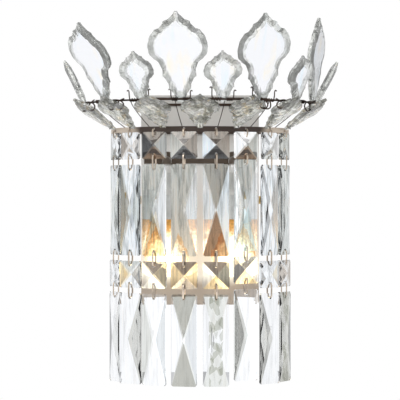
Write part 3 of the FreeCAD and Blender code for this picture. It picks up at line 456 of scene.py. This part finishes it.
def ramp(tree, fac, stops, interpolation="LINEAR"):
    """A colour ramp with stops of (position, colour)."""
    node = add(tree, "ShaderNodeValToRGB")
    node.color_ramp.interpolation = interpolation
    elements = node.color_ramp.elements
    while len(elements) < len(stops):
        elements.new(0.5)
    for element, (position, colour) in zip(elements, stops):
        element.position = position
        element.color = (*colour, 1)
    tree.links.new(fac, node.inputs["Fac"])
    return node.outputs["Color"]


def bump(tree, shader, height, strength, distance):
    """Roughens a surface by a height."""
    node = add(tree, "ShaderNodeBump")
    node.inputs["Strength"].default_value = strength
    node.inputs["Distance"].default_value = distance
    tree.links.new(height, node.inputs["Height"])
    tree.links.new(node.outputs["Normal"], shader.inputs["Normal"])


def tone(colour, factor):
    """A colour made darker or lighter."""
    return tuple(min(channel * factor, 1) for channel in colour)


def glass(name, roughness=0.0):
    """Clear lead crystal, to be tinted."""
    finish, tree, shader = new_finish(name)
    shader.inputs["Roughness"].default_value = roughness
    shader.inputs["IOR"].default_value = CRYSTAL_IOR
    shader.inputs["Transmission Weight"].default_value = 1.0
    return finish, tree, shader


def window_finish(name, colour):
    """The polished window of a leaf, with painted coloured glints of pale blue and warm in streaks."""
    finish, tree, shader = glass(name)
    streaks = noise(tree, object_place(tree, (1, 1, 0.22)), scale=95, detail=1.0)
    clear = tuple(colour)
    # Painted coloured glints: pale blue and warm streaks round the clear colour.
    stops = [(0.30, (0.90, 0.95, 0.99)), (0.36, clear), (0.64, clear), (0.69, (0.99, 0.96, 0.90))]
    tree.links.new(ramp(tree, streaks, stops), shader.inputs["Base Color"])
    return finish


def lie_of(node):
    """A hanging crystal's middle, how far it is turned from straight ahead, its width and height."""
    points = [vert.co for vert in NODES[node].data.vertices]
    low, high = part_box(node)
    middle = Vector(((low[0] + high[0]) / 2, (low[1] + high[1]) / 2, (low[2] + high[2]) / 2))
    spread = [(p.x - middle.x, p.y - middle.y) for p in points]
    xx, yy, xy = (sum(v) for v in zip(*((x * x, y * y, x * y) for x, y in spread)))
    turn = math.atan2(2 * xy, xx - yy) / 2
    width = 2 * max(abs(x * math.cos(turn) + y * math.sin(turn)) for x, y in spread)
    return middle, turn, width, high[2] - low[2]


def by_facet(tree, share, four):
    """The colour of the facet that lies a share of a turn round a crystal, from those of all four."""
    stops = sorted([*zip(FACET_STARTS, four), (LEFT_AGAIN, four[3])])
    return ramp(tree, share, stops, "CONSTANT")


def painted_facet_finish(name, node, letters, streaky, highlight_strength):
    """A cut crystal with a painted reflection on each of its four facets, painted coloured glints in fine
    streaks down its length, and painted highlights that glow where asked.
    """
    finish, tree, shader = glass(name)
    middle, turn, width, height = lie_of(node)
    own = add(tree, "ShaderNodeMapping", vector_type="TEXTURE")
    own.inputs["Location"].default_value = middle
    own.inputs["Rotation"].default_value = (0, 0, turn)
    own.inputs["Scale"].default_value = (width, width, height)
    tree.links.new(add(tree, "ShaderNodeTexCoord").outputs["Object"], own.inputs["Vector"])
    parts = split(tree, own.outputs["Vector"])
    angle = reckon(tree, "ARCTAN2", parts["Z"], parts["X"])
    share = map_range(tree, angle, (-math.pi, math.pi))
    # Painted highlights: the facets glow white where they stand for the studio's lamps.
    if highlight_strength:
        highlight_colours = [tone(FACET_REFLECTIONS[letter], highlight_strength * PAINTED_HIGHLIGHTS.get(letter, 0)) for letter in letters]
        tree.links.new(by_facet(tree, share, highlight_colours), shader.inputs["Emission Color"])
        shader.inputs["Emission Strength"].default_value = 1.0
    # Painted reflections and painted shade, one colour for each facet, with painted coloured glints in
    # streaks.
    tint = by_facet(tree, share, [FACET_REFLECTIONS[letter] for letter in letters])
    streaks = noise(tree, object_place(tree, (1, 1, 0.055)), scale=380, detail=3.0)
    tint = multiplied(tree, tint, ramp(tree, streaks, PAINTED_STREAKS), streaky)
    # Painted flecks of shade and light across the middle, standing for the cut back seen through it.
    if node in FLECKED:
        shards = cells(tree, object_place(tree, (1, 1, 0.55)), SHARD_SCALE)
        fleck_light_and_shade = ramp(tree, drawn_by_cell(tree, shards), PAINTED_FLECKS, "CONSTANT")
        central = reckon(tree, "LESS_THAN", reckon(tree, "ABSOLUTE", parts["X"]), FLECK_REACH)
        tint = multiplied(tree, tint, fleck_light_and_shade, central)
    tree.links.new(tint, shader.inputs["Base Color"])
    ripples = noise(tree, object_place(tree, (1, 1, 0.06)), scale=150)
    bump(tree, shader, ripples, strength=0.25 * streaky, distance=0.0008)
    return finish


def bevel_finish(name, colour):
    """The hand-cut bevel of a leaf: the same crystal in ripples, with painted shade and painted highlights in
    patches of grey and white.
    """
    finish, tree, shader = glass(name, roughness=0.03)
    shader.inputs["Transmission Weight"].default_value = BEVEL_CLARITY
    place = object_place(tree)
    patches = noise(tree, place, scale=130, detail=4.0, roughness=0.62)
    # Painted shade and painted highlights in patches, from grey to white.
    stops = [
        (0.38, tone(colour, 0.60)),
        (0.47, tone(colour, 0.84)),
        (0.55, tuple(colour)),
        (0.62, (1, 1, 1)),
    ]
    tree.links.new(ramp(tree, patches, stops), shader.inputs["Base Color"])
    flutes = cells(tree, place, scale=150).outputs["Distance"]
    bump(tree, shader, flutes, strength=0.22, distance=0.0012)
    return finish


def painted_sparkle_finish(name, colour):
    """Crystal cut all over, with painted glints and painted shade: what it shows is painted into its colour
    as dark, olive, white and gold shards.
    """
    finish, tree, shader = glass(name, roughness=0.03)
    shader.inputs["Transmission Weight"].default_value = COLLAR_CLARITY
    place = object_place(tree)
    shards = cells(tree, place, SHARD_SCALE)
    patches = noise(tree, place, scale=260, detail=4.0, roughness=0.6)
    mixed = blended(tree, 0.5, patches, drawn_by_cell(tree, shards))
    # Painted shade, painted glints and painted gold reflections, shard by shard.
    stops = [
        (0.22, (0.22, 0.22, 0.18)),
        (0.34, (0.60, 0.60, 0.53)),
        (0.46, tone(colour, 0.98)),
        (0.56, (1, 1, 1)),
        (0.70, (1, 1, 0.97)),
        (0.76, (0.97, 0.80, 0.52)),
    ]
    tree.links.new(ramp(tree, mixed, stops), shader.inputs["Base Color"])
    bump(tree, shader, shards.outputs["Distance"], strength=0.35, distance=0.0016)
    return finish


def metal_finish(name, colour, roughness, wear=0.35):
    """Metal with patchy tarnish and a fine tooth."""
    finish, tree, shader = new_finish(name)
    shader.inputs["Metallic"].default_value = 1.0
    place = object_place(tree)
    tarnish = noise(tree, place, scale=60, detail=4.0, roughness=0.6)
    tint = ramp(tree, tarnish, [(0.35, tone(colour, 1 - wear)), (0.65, tone(colour, 1 + wear))])
    tree.links.new(tint, shader.inputs["Base Color"])
    dull = ramp(tree, tarnish, [(0.3, (roughness * 1.3,) * 3), (0.7, (roughness * 0.8,) * 3)])
    tree.links.new(dull, shader.inputs["Roughness"])
    bump(tree, shader, noise(tree, place, scale=900), strength=0.15, distance=0.0003)
    return finish


def glow_finish(name, deep, hot, middle, reach):
    """A lit bulb: mottled amber, and white-hot round the filament, whose middle is given from the
    frame's origin sideways and upward and whose glow reaches as far as given in the same two ways."""
    finish, tree, shader = new_finish(name)
    shader.inputs["Roughness"].default_value = 0.12
    place = add(tree, "ShaderNodeTexCoord").outputs["Object"]
    mirrored = add(tree, "ShaderNodeVectorMath", operation="ABSOLUTE")
    tree.links.new(place, mirrored.inputs[0])
    centred = add(tree, "ShaderNodeMapping")
    centred.inputs["Location"].default_value = (-middle[0] / reach[0], 0, middle[1] / reach[1])
    centred.inputs["Scale"].default_value = (1 / reach[0], 0, 1 / reach[1])
    tree.links.new(mirrored.outputs["Vector"], centred.inputs["Vector"])
    away = add(tree, "ShaderNodeVectorMath", operation="LENGTH")
    tree.links.new(centred.outputs["Vector"], away.inputs[0])
    mottle = noise(tree, place, scale=230, detail=4.0, roughness=0.7)
    uneven = reckon(tree, "MULTIPLY_ADD", mottle, -GLOW_MOTTLE, away.outputs["Value"])
    heat = map_range(tree, uneven, GLOW_EDGES)
    colour = ramp(tree, heat, [(0.0, tone(deep, 0.28)), (0.35, tuple(deep)), (0.62, tuple(hot))])
    tree.links.new(colour, shader.inputs["Base Color"])
    tree.links.new(colour, shader.inputs["Emission Color"])
    strength = map_range(tree, heat, (0.4, 0.9), GLOW_STRENGTH)
    grains = noise(tree, place, scale=520, detail=3.0, roughness=0.7)
    specks = map_range(tree, grains, (0.40, 0.60), GLOW_SPECKS)
    tree.links.new(reckon(tree, "MULTIPLY", strength, specks), shader.inputs["Emission Strength"])
    return finish


def banded_finish(name, axis, bands, ragged, metallic=0.4):
    """Metal whose colour changes by bands along X, both ways, or along Z, across ragged lines."""
    finish, tree, shader = new_finish(name)
    shader.inputs["Metallic"].default_value = metallic
    shader.inputs["Roughness"].default_value = 0.38
    place = object_place(tree)
    along = split(tree, place)[axis]
    if axis == "X":
        along = reckon(tree, "ABSOLUTE", along)
    patches = noise(tree, place, scale=70, detail=4.0, roughness=0.6)
    uneven = reckon(tree, "MULTIPLY_ADD", patches, ragged, along)
    low, high = bands[0][0], bands[-1][0]
    share = map_range(tree, uneven, (low + ragged / 2, high + ragged / 2))
    _, colours = settings()
    stops = [((distance - low) / (high - low), tuple(getattr(colours, colour))) for distance, colour in bands]
    tree.links.new(ramp(tree, share, stops), shader.inputs["Base Color"])
    bump(tree, shader, noise(tree, place, scale=450), strength=0.1, distance=0.0003)
    return finish


def moulded_finish(name, colour):
    """Pale moulded plastic."""
    finish, tree, shader = new_finish(name)
    place = object_place(tree)
    tint = ramp(tree, noise(tree, place, scale=120), [(0.3, tone(colour, 0.94)), (0.7, tuple(colour))])
    tree.links.new(tint, shader.inputs["Base Color"])
    shader.inputs["Roughness"].default_value = 0.45
    bump(tree, shader, noise(tree, place, scale=1400), strength=0.1, distance=0.0002)
    return finish


# --- pieces -------------------------------------------------------------------------------------


def settings():
    """The sizes and the colours that the panel shows."""
    scene = bpy.context.scene
    return scene.sconce_sizes, scene.sconce_colours


def made(name, mesh, finishes):
    """Turns a bmesh into an object with its finishes."""
    data = bpy.data.meshes.new(name)
    mesh.to_mesh(data)
    mesh.free()
    for finish in finishes:
        data.materials.append(finish)
    item = bpy.data.objects.new(name, data)
    bpy.context.collection.objects.link(item)
    return item


def finished(name, mesh, finishes, body, replaced=()):
    """Turns a bmesh into a piece that rides on a body and stands for some nodes."""
    piece = made(name, mesh, finishes)
    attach(piece, body)
    if replaced:
        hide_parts(*replaced)


def dress(node, finish):
    """Gives a carried-over node its finish."""
    slots = NODES[node].data.materials
    slots.clear()
    slots.append(finish)


def round_ring(angle):
    """The radial frame at an angle round the ring, in degrees from straight ahead."""
    return Matrix.Translation(RING_AXIS) @ Matrix.Rotation(math.radians(angle - 90), 4, "Z")


def leaf_outline(kind):
    """One side of a leaf's outline from tip to foot, with its stretches as shallow arcs."""
    length, width, _ = LEAVES[kind]
    top = length - LEAF_INSET
    corners = [Vector((out * width / 2, top - down * length)) for down, out, _ in LEAF_CORNERS]
    points = []
    for here, there, (_, _, sag) in zip(corners, corners[1:], LEAF_CORNERS):
        along = there - here
        inward = Vector((along.y, -along.x))
        for step in range(ARC_STEPS if sag else 1):
            share = step / ARC_STEPS
            notch = inward.normalized() * (LEAF_NOTCH if step in NOTCHED_STEPS else 0)
            points.append(here + along * share + inward * (4 * sag * share * (1 - share)) + notch)
    points.append(corners[-1])
    return points


def leaf_mesh(kind):
    """A crystal leaf with a flat window inside a fluted bevel on both faces, its hole at the origin."""
    length, _, window = LEAVES[kind]
    middle = Vector((0, 0, length - LEAF_INSET - LEAF_MIDDLE * length))
    side = leaf_outline(kind)
    mesh = bmesh.new()
    ring = [mesh.verts.new((0, across, up)) for across, up in side]
    ring += [mesh.verts.new((0, -across, up)) for across, up in reversed(side)]
    face = mesh.faces.new(ring)
    for reach, share in ((LEAF_EDGE / 2, 1.0), ((LEAF_DEPTH - LEAF_EDGE) / 2, window)):
        raised = bmesh.ops.extrude_face_region(mesh, geom=[face])["geom"]
        face = next(item for item in raised if isinstance(item, bmesh.types.BMFace))
        bmesh.ops.translate(mesh, verts=face.verts, vec=(reach, 0, 0))
        centred = Matrix.Translation(-middle)
        bmesh.ops.scale(mesh, verts=face.verts, vec=(1, share, share), space=centred)
    base = [f for f in mesh.faces if all(abs(v.co.x) < THIN for v in f.verts)]
    bmesh.ops.delete(mesh, geom=base, context="FACES_ONLY")
    half = [*mesh.verts, *mesh.edges, *mesh.faces]
    bmesh.ops.mirror(mesh, geom=half, axis="X", merge_dist=THIN)
    bmesh.ops.recalc_face_normals(mesh, faces=mesh.faces)
    for f in mesh.faces:
        f.material_index = 0 if abs(f.normal.x) > FLAT else 1
    return mesh


def grouped(target, mesh, place):
    """Adds a placed copy of a mesh to another and frees it."""
    bmesh.ops.transform(mesh, matrix=place, verts=mesh.verts)
    data = bpy.data.meshes.new("part")
    mesh.to_mesh(data)
    mesh.free()
    target.from_mesh(data)
    bpy.data.meshes.remove(data)


def half_at_hole(kind):
    """Half of a leaf's thickness at its hole."""
    length, _, window = LEAVES[kind]
    run = (1 - window) * (1 - LEAF_MIDDLE) * length
    return LEAF_EDGE / 2 + (LEAF_DEPTH - LEAF_EDGE) / 2 * LEAF_INSET / run


def upright_place(number):
    """Where an upright leaf's hole is, and how it stands."""
    kind, angle, lean, tilt = UPRIGHTS[number]
    away = CROWN_WIRE / 2 + LEAF_GAP + half_at_hole(kind)
    lean = math.radians(lean)
    out = CROWN_RADIUS - away * math.cos(lean)
    up = CROWN_HEIGHT + away * math.sin(lean)
    stand = Matrix.Translation((out, 0, up)) @ Matrix.Rotation(lean, 4, "Y")
    return round_ring(angle) @ stand @ Matrix.Rotation(math.radians(tilt), 4, "X")


def collar_place(number):
    """Where a leaf of the collar lies."""
    angle = COLLAR_STEP * (number - (COLLAR_COUNT - 1) / 2)
    lie = Matrix.Rotation(math.radians(90 - COLLAR_SLOPE), 4, "Y")
    foot = Matrix.Translation((RING_RADIUS + COLLAR_REACH, 0, RING_TOP + COLLAR_RISE))
    return round_ring(angle) @ foot @ lie


class SCONCE_OT_crown_leaves(Operator):
    """Stands the large and small crystal leaves round the crown"""

    bl_idname = "sconce.crown_leaves"
    bl_label = "Crown Leaves"

    def execute(self, context):
        _, colours = settings()
        window = window_finish("leaf_window", colours.crystal)
        finishes = [window, bevel_finish("leaf_bevel", colours.bevel)]
        crown = bmesh.new()
        for number, (kind, *_) in enumerate(UPRIGHTS):
            grouped(crown, leaf_mesh(kind), upright_place(number))
        finished("crown_leaves", crown, finishes, FIXTURE, ["crown_pendalogues"])
        return {"FINISHED"}


class SCONCE_OT_collar_leaves(Operator):
    """Lays the small crystal leaves as a collar under the crown"""

    bl_idname = "sconce.collar_leaves"
    bl_label = "Collar Leaves"

    def execute(self, context):
        _, colours = settings()
        painted_sparkle = painted_sparkle_finish("collar_crystal", colours.bevel)
        collar = bmesh.new()
        for number in range(COLLAR_COUNT):
            grouped(collar, leaf_mesh("small"), collar_place(number))
        finished("collar_leaves", collar, [painted_sparkle, painted_sparkle], FIXTURE, ["collar_pendalogues"])
        return {"FINISHED"}


class SCONCE_OT_strand_crystals(Operator):
    """Finishes the square and long crystals of the strands"""

    bl_idname = "sconce.strand_crystals"
    bl_label = "Strand Crystals"

    def execute(self, context):
        for kind, words in PAINTED_FACETS.items():
            streaky, shine = GLINTS_AND_HIGHLIGHTS[kind]
            for strand, letters in enumerate(words.split(), 1):
                node = f"{kind}_{strand}"
                highlight_strength = shine if strand in BEFORE_PLATE else 0
                dress(node, painted_facet_finish(f"crystal_{node}", node, letters, streaky, highlight_strength))
        return {"FINISHED"}


def link_mesh(low, high, sizes):
    """A long loop of flat wire between two heights, in the XZ plane."""
    reach, width = sizes.link_reach, sizes.link_width
    mesh = bmesh.new()
    upright = Matrix.Rotation(math.pi / 2, 4, "X")
    bmesh.ops.create_circle(mesh, segments=LINK_SEGMENTS, radius=reach, matrix=upright)
    middle = (low + high) / 2
    stretch = (high - low) / 2 - reach
    for vert in mesh.verts:
        vert.co.z += middle + math.copysign(stretch, vert.co.z)
        vert.co.y = -width / 2
    swept = bmesh.ops.extrude_edge_only(mesh, edges=list(mesh.edges))["geom"]
    far = [item for item in swept if isinstance(item, bmesh.types.BMVert)]
    bmesh.ops.translate(mesh, verts=far, vec=(0, width, 0))
    bmesh.ops.recalc_face_normals(mesh, faces=mesh.faces)
    bmesh.ops.solidify(mesh, geom=mesh.faces, thickness=sizes.link_thickness)
    bmesh.ops.recalc_face_normals(mesh, faces=mesh.faces)
    rims = [e for e in mesh.edges if e.is_manifold and e.calc_face_angle() > SHARP]
    bmesh.ops.bevel(
        mesh, geom=rims, offset=LINK_ROUNDING, segments=2, profile=0.5, affect="EDGES", material=-1
    )
    for face in mesh.faces:
        face.smooth = True
    return mesh


class SCONCE_OT_links(Operator):
    """Makes the flat wire links between the crystals"""

    bl_idname = "sconce.links"
    bl_label = "Links"

    def execute(self, context):
        sizes, colours = settings()
        finish = metal_finish("link_wire", colours.link_metal, roughness=0.28, wear=0.4)
        for strand in range(1, STRANDS + 1):
            for level in ("upper", "lower"):
                links = f"{level}_links_{strand}"
                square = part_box(f"{level}_square_{strand}")
                low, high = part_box(links)
                hole_high = square[1][2] - CRYSTAL_INSET - LINK_SLACK
                hole_low = square[0][2] + CRYSTAL_INSET + LINK_SLACK
                centre = ((low[0] + high[0]) / 2, (low[1] + high[1]) / 2)
                turn = math.atan2(square[1][1] - square[0][1], square[1][0] - square[0][0])
                if centre[0] > 0:
                    turn = -turn
                place = Matrix.Translation((*centre, 0)) @ Matrix.Rotation(-turn - math.pi / 2, 4, "Z")
                pair = bmesh.new()
                grouped(pair, link_mesh(hole_high, high[2], sizes), place)
                grouped(pair, link_mesh(low[2], hole_low, sizes), place)
                body = f"swinging_{level}_square_{strand}"
                finished(f"{level}_wire_{strand}", pair, [finish], body, [links])
        return {"FINISHED"}


def bent_wire(points, diameter):
    """A round wire that follows points smoothly, as a bmesh."""
    curve = bpy.data.curves.new("wire_path", "CURVE")
    curve.dimensions = "3D"
    curve.bevel_depth = diameter / 2
    curve.bevel_resolution = 3
    curve.use_fill_caps = True
    curve.resolution_u = 5
    spline = curve.splines.new("NURBS")
    spline.points.add(len(points) - 1)
    for target, point in zip(spline.points, points):
        target.co = (*point, 1)
    spline.order_u = 3
    spline.use_endpoint_u = True
    holder = bpy.data.objects.new("wire_path", curve)
    bpy.context.collection.objects.link(holder)
    bpy.context.view_layer.update()
    solid = holder.evaluated_get(bpy.context.evaluated_depsgraph_get())
    data = bpy.data.meshes.new_from_object(solid)
    mesh = bmesh.new()
    mesh.from_mesh(data)
    bpy.data.objects.remove(holder)
    bpy.data.curves.remove(curve)
    bpy.data.meshes.remove(data)
    for face in mesh.faces:
        face.smooth = True
    return mesh


def coil(start, turns, radius, advance):
    """Points of a coil round the hoop's wire, which runs along Y, from a start."""
    points = []
    for step in range(int(turns * COIL_STEPS) + 1):
        turn = 2 * math.pi * step / COIL_STEPS
        along = advance * step / COIL_STEPS
        points.append(start + Vector((radius * math.cos(turn), along, radius * math.sin(turn))))
    return points


def round_axis(angle, reach, height):
    """A point at an angle round the ring's axis, with its distance from the axis and its height."""
    return RING_AXIS + Vector((reach * math.sin(angle), -reach * math.cos(angle), height))


def curls(start, end, draw):
    """Points of a loose wire that loops along the hoop between two distances from the middle."""
    count = COIL_STEPS * CURL_TURNS
    points = []
    for step in range(count + 1):
        turn = 2 * math.pi * step / COIL_STEPS
        radius = CURL_RADIUS * draw.uniform(*CURL_SPREAD)
        across = start + (end - start) * step / count + radius * math.sin(turn)
        reach = CROWN_RADIUS + CURL_OFFSET + CURL_SWAY * math.sin(turn / 2)
        height = CROWN_HEIGHT - CURL_OFFSET + radius * math.cos(turn)
        points.append(round_axis(math.asin(across / CROWN_RADIUS), reach, height))
    return points


def tail(start, side, rise):
    """Points of a wire end that stands up and hooks over."""
    return [start + Vector((out, side * across, rise * share)) for out, across, share in TAIL]


def crown_hoop():
    """The hoop that the leaves stand on."""
    angles = [math.radians(a) for a in range(-HOOP_REACH, HOOP_REACH + 1, HOOP_STEP)]
    return bent_wire([round_axis(a, CROWN_RADIUS, CROWN_HEIGHT) for a in angles], CROWN_WIRE)


def stay_wires(wire):
    """The stays from the hanging ring up to the hoop, each with its place."""
    under = CROWN_HEIGHT - (CROWN_WIRE + wire) / 2
    inside, below = STAY_BEND
    path = [(RING_RADIUS, 0, RING_TOP), (CROWN_RADIUS - inside, 0, under - below), (CROWN_RADIUS, 0, under)]
    for number in range(STAY_COUNT):
        angle = STAY_STEP * (number - (STAY_COUNT - 1) / 2)
        yield bent_wire(path, wire * STAY_SHARE), round_ring(angle)


def hook_wires(wire):
    """The hook through each collar leaf's hole, with its place."""
    half = half_at_hole("small")
    path = [HOOK_END, (-half - wire, 0, HOOK_BEND), (-wire, 0, 0), (half + wire, 0, 0)]
    for number in range(COLLAR_COUNT):
        yield bent_wire(path, wire), collar_place(number)


def tie_wires(wire, draw):
    """The pin through each upright leaf's hole and the coil on either side of it, with their places."""
    hoop = Vector((CROWN_RADIUS, 0, CROWN_HEIGHT))
    for number, (kind, angle, _, _) in enumerate(UPRIGHTS):
        half = half_at_hole(kind)
        pin = [(-half - wire, 0, 0), (0, 0, 0), (half + LEAF_GAP, 0, 0)]
        yield bent_wire(pin, wire), upright_place(number)
        for side in (-1, 1):
            start = hoop + Vector((0, side * TIE_OFFSET, 0))
            points = coil(start, TIE_TURNS, (CROWN_WIRE + wire) / 2, side * draw.uniform(*TIE_PITCH))
            if abs(angle) < TAILS_TO:
                points += tail(points[-1], side, draw.uniform(*TAIL_HEIGHT))
            yield bent_wire(points, wire), round_ring(angle)


def loose_wires(wire, draw):
    """The loose curls in front of the hoop, already in their places."""
    for start, end in CURLS:
        yield bent_wire(curls(start, end, draw), wire * CURL_SHARE), Matrix.Identity(4)


def crown_rails():
    """Two thin dark bars across the top of the plate; the upper one is painted shade along its top edge."""
    bars = bmesh.new()
    for height, thickness in DARK_BARS:
        place = Matrix.Translation((0, PLATE_FRONT - BAR_GAP, height))
        size = Matrix.Diagonal((BAR_WIDTH, BAR_DEPTH, thickness, 1))
        bmesh.ops.create_cube(bars, size=1, matrix=place @ size)
    return bars


class SCONCE_OT_crown_wires(Operator):
    """Bends the crown's hoop, its stays, hooks and pins, and ties the leaves on with curled wire"""

    bl_idname = "sconce.crown_wires"
    bl_label = "Crown Wires"

    def execute(self, context):
        sizes, colours = settings()
        wire = sizes.tie_wire
        finish = metal_finish("tie_wire", colours.dark_wire, roughness=0.42, wear=0.5)
        draw = random.Random(7)
        crown = crown_hoop()
        kinds = (stay_wires(wire), hook_wires(wire), tie_wires(wire, draw), loose_wires(wire, draw))
        for kind in kinds:
            for mesh, place in kind:
                grouped(crown, mesh, place)
        finished("crown_wire", crown, [finish], FIXTURE, ["crown_ring"])
        # The hanging ring's bands are a painted reflection, dark in the middle and pale at the sides.
        dress("hanging_ring", banded_finish("ring_strip", "X", RING_REFLECTION_BANDS, ragged=0.008))
        # Dark bars across the plate's top; the upper one is painted shade along its top edge.
        finished("crown_rails", crown_rails(), [finish], FIXTURE)
        return {"FINISHED"}


class SCONCE_OT_metalwork(Operator):
    """Finishes the back plate, the bracket, the screws and the terminal block"""

    bl_idname = "sconce.metalwork"
    bl_label = "Metalwork"

    def execute(self, context):
        _, colours = settings()
        # The plate's bands carry a painted shadow of the collar over its top.
        nickel = banded_finish("plate_nickel", "Z", PLATE_BANDS, ragged=0.014, metallic=0.15)
        dress("back_plate", nickel)
        dress("wall_bracket", metal_finish("zinc_strap", colours.zinc, roughness=0.4, wear=0.15))
        dress("side_screws", metal_finish("screw_brass", colours.brass, roughness=0.3))
        dress("terminal_block", moulded_finish("terminal_plastic", colours.terminal))
        return {"FINISHED"}


class SCONCE_OT_lamps(Operator):
    """Finishes the lamp arms and lampholders and lights the bulbs"""

    bl_idname = "sconce.lamps"
    bl_label = "Lamps"

    def execute(self, context):
        sizes, colours = settings()
        dress("lamp_bracket", banded_finish("lamp_bronze", "Z", ARM_BANDS, ragged=0.002))
        dress("lampholders", metal_finish("holder_nickel", colours.holder, roughness=0.3, wear=0.15))
        low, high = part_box("bulb_right")
        filament = ((low[0] + high[0]) / 2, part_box("lampholders")[0][2] - sizes.filament_drop)
        reach = (sizes.filament_width, sizes.filament_height)
        glow = glow_finish("bulb_glow", colours.glow_deep, colours.glow_hot, filament, reach)
        for side in ("left", "right"):
            dress(f"bulb_{side}", glow)
        return {"FINISHED"}


def studio_world():
    """White behind everything, a plain level of light, and pale and grey panels in glass and metal."""
    world = bpy.data.worlds.new("studio")
    bpy.context.scene.world = world
    world.use_nodes = True
    tree = world.node_tree
    tree.nodes.clear()
    place = add(tree, "ShaderNodeTexCoord")
    parts = split(tree, place.outputs["Generated"])
    turn = reckon(tree, "ARCTAN2", parts["X"], parts["Y"])
    wave = reckon(tree, "COSINE", reckon(tree, "MULTIPLY", turn, PANEL_COUNT))
    panels = map_range(tree, wave, PANEL_EDGES, PANEL_LEVELS, "SMOOTHSTEP")
    level = map_range(tree, parts["Z"], LOW_EDGES, LOW_LEVELS, "SMOOTHSTEP")
    both = reckon(tree, "MULTIPLY", panels, level)
    path = add(tree, "ShaderNodeLightPath").outputs
    bent = reckon(tree, "MAXIMUM", path["Is Transmission Ray"], path["Is Glossy Ray"])
    seen = blended(tree, path["Is Camera Ray"], blended(tree, bent, 1.0, both), 1.0)
    background = add(tree, "ShaderNodeBackground")
    background.inputs["Color"].default_value = (1, 1, 1, 1)
    tree.links.new(seen, background.inputs["Strength"])
    output = add(tree, "ShaderNodeOutputWorld")
    tree.links.new(background.outputs["Background"], output.inputs["Surface"])


class SCONCE_OT_stage(Operator):
    """Sets up the camera, the pale floor and the soft light"""

    bl_idname = "sconce.stage"
    bl_label = "Stage"

    def execute(self, context):
        sizes, _ = settings()
        scene = context.scene
        scene.view_settings.view_transform = "Standard"
        studio_world()
        grid = bmesh.new()
        level = Matrix.Translation((0, 0, -sizes.floor_drop))
        bmesh.ops.create_grid(grid, x_segments=1, y_segments=1, size=sizes.floor_side / 2, matrix=level)
        floor = made("floor", grid, [floor_finish()])
        white_card(sizes.card_side, sizes.card_distance)
        lamp = bpy.data.lights.new("soft_key", "AREA")
        lamp.energy = KEY_POWER
        lamp.size = KEY_SIDE
        key = bpy.data.objects.new("soft_key", lamp)
        aim = (-KEY_PLACE).to_track_quat("-Z", "Y").to_matrix().to_4x4()
        key.matrix_world = Matrix.Translation(KEY_PLACE) @ aim
        context.collection.objects.link(key)
        camera = bpy.data.cameras.new("camera")
        camera.lens = sizes.camera_lens
        camera.sensor_width = SENSOR_WIDTH
        camera.clip_end = VIEW_DEPTH
        holder = bpy.data.objects.new("camera", camera)
        holder.location = (0, -sizes.camera_distance, 0)
        holder.rotation_euler = (math.pi / 2, 0, 0)
        context.collection.objects.link(holder)
        scene.camera = holder
        return {"FINISHED"}


def white_card(side, distance):
    """A lit card behind the sconce, which shows in glass and metal and not to the camera itself."""
    mesh = bmesh.new()
    upright = Matrix.Translation((0, distance, 0)) @ Matrix.Rotation(math.pi / 2, 4, "X")
    bmesh.ops.create_grid(mesh, x_segments=1, y_segments=1, size=side / 2, matrix=upright)
    finish, _, shader = new_finish("card_light")
    shader.inputs["Base Color"].default_value = (0, 0, 0, 1)
    shader.inputs["Emission Color"].default_value = (1, 1, 1, 1)
    shader.inputs["Emission Strength"].default_value = 1.0
    card = made("white_card", mesh, [finish])
    card.visible_camera = False
    card.visible_diffuse = False
    card.visible_shadow = False


def floor_finish():
    """A pale, rough floor."""
    finish, _, shader = new_finish("pale_floor")
    shader.inputs["Base Color"].default_value = (0.86, 0.86, 0.86, 1)
    shader.inputs["Roughness"].default_value = 0.9
    return finish


class SCONCE_PT_panel(Panel):
    """Lists the steps that dress the sconce"""

    bl_label = "Crystal Sconce"
    bl_space_type = "VIEW_3D"
    bl_region_type = "UI"
    bl_category = "Sconce"

    def draw(self, context):
        layout = self.layout
        for step in STEPS:
            layout.operator(step.bl_idname)
        sizes, colours = context.scene.sconce_sizes, context.scene.sconce_colours
        for group in (sizes, colours):
            for name in group.bl_rna.properties.keys()[2:]:
                layout.prop(group, name)


STEPS = (
    SCONCE_OT_stage,
    SCONCE_OT_strand_crystals,
    SCONCE_OT_crown_leaves,
    SCONCE_OT_collar_leaves,
    SCONCE_OT_links,
    SCONCE_OT_crown_wires,
    SCONCE_OT_metalwork,
    SCONCE_OT_lamps,
)
CLASSES = (SconceSizes, SconceColours, *STEPS, SCONCE_PT_panel)


def register():
    for item in CLASSES:
        bpy.utils.register_class(item)
    bpy.types.Scene.sconce_sizes = PointerProperty(type=SconceSizes)
    bpy.types.Scene.sconce_colours = PointerProperty(type=SconceColours)


def unregister():
    del bpy.types.Scene.sconce_colours
    del bpy.types.Scene.sconce_sizes
    for item in reversed(CLASSES):
        bpy.utils.unregister_class(item)


def main():
    register()
    for step in STEPS:
        group, name = step.bl_idname.split(".")
        getattr(getattr(bpy.ops, group), name)()
    bpy.context.view_layer.update()


if __name__ == "__main__":
    main()
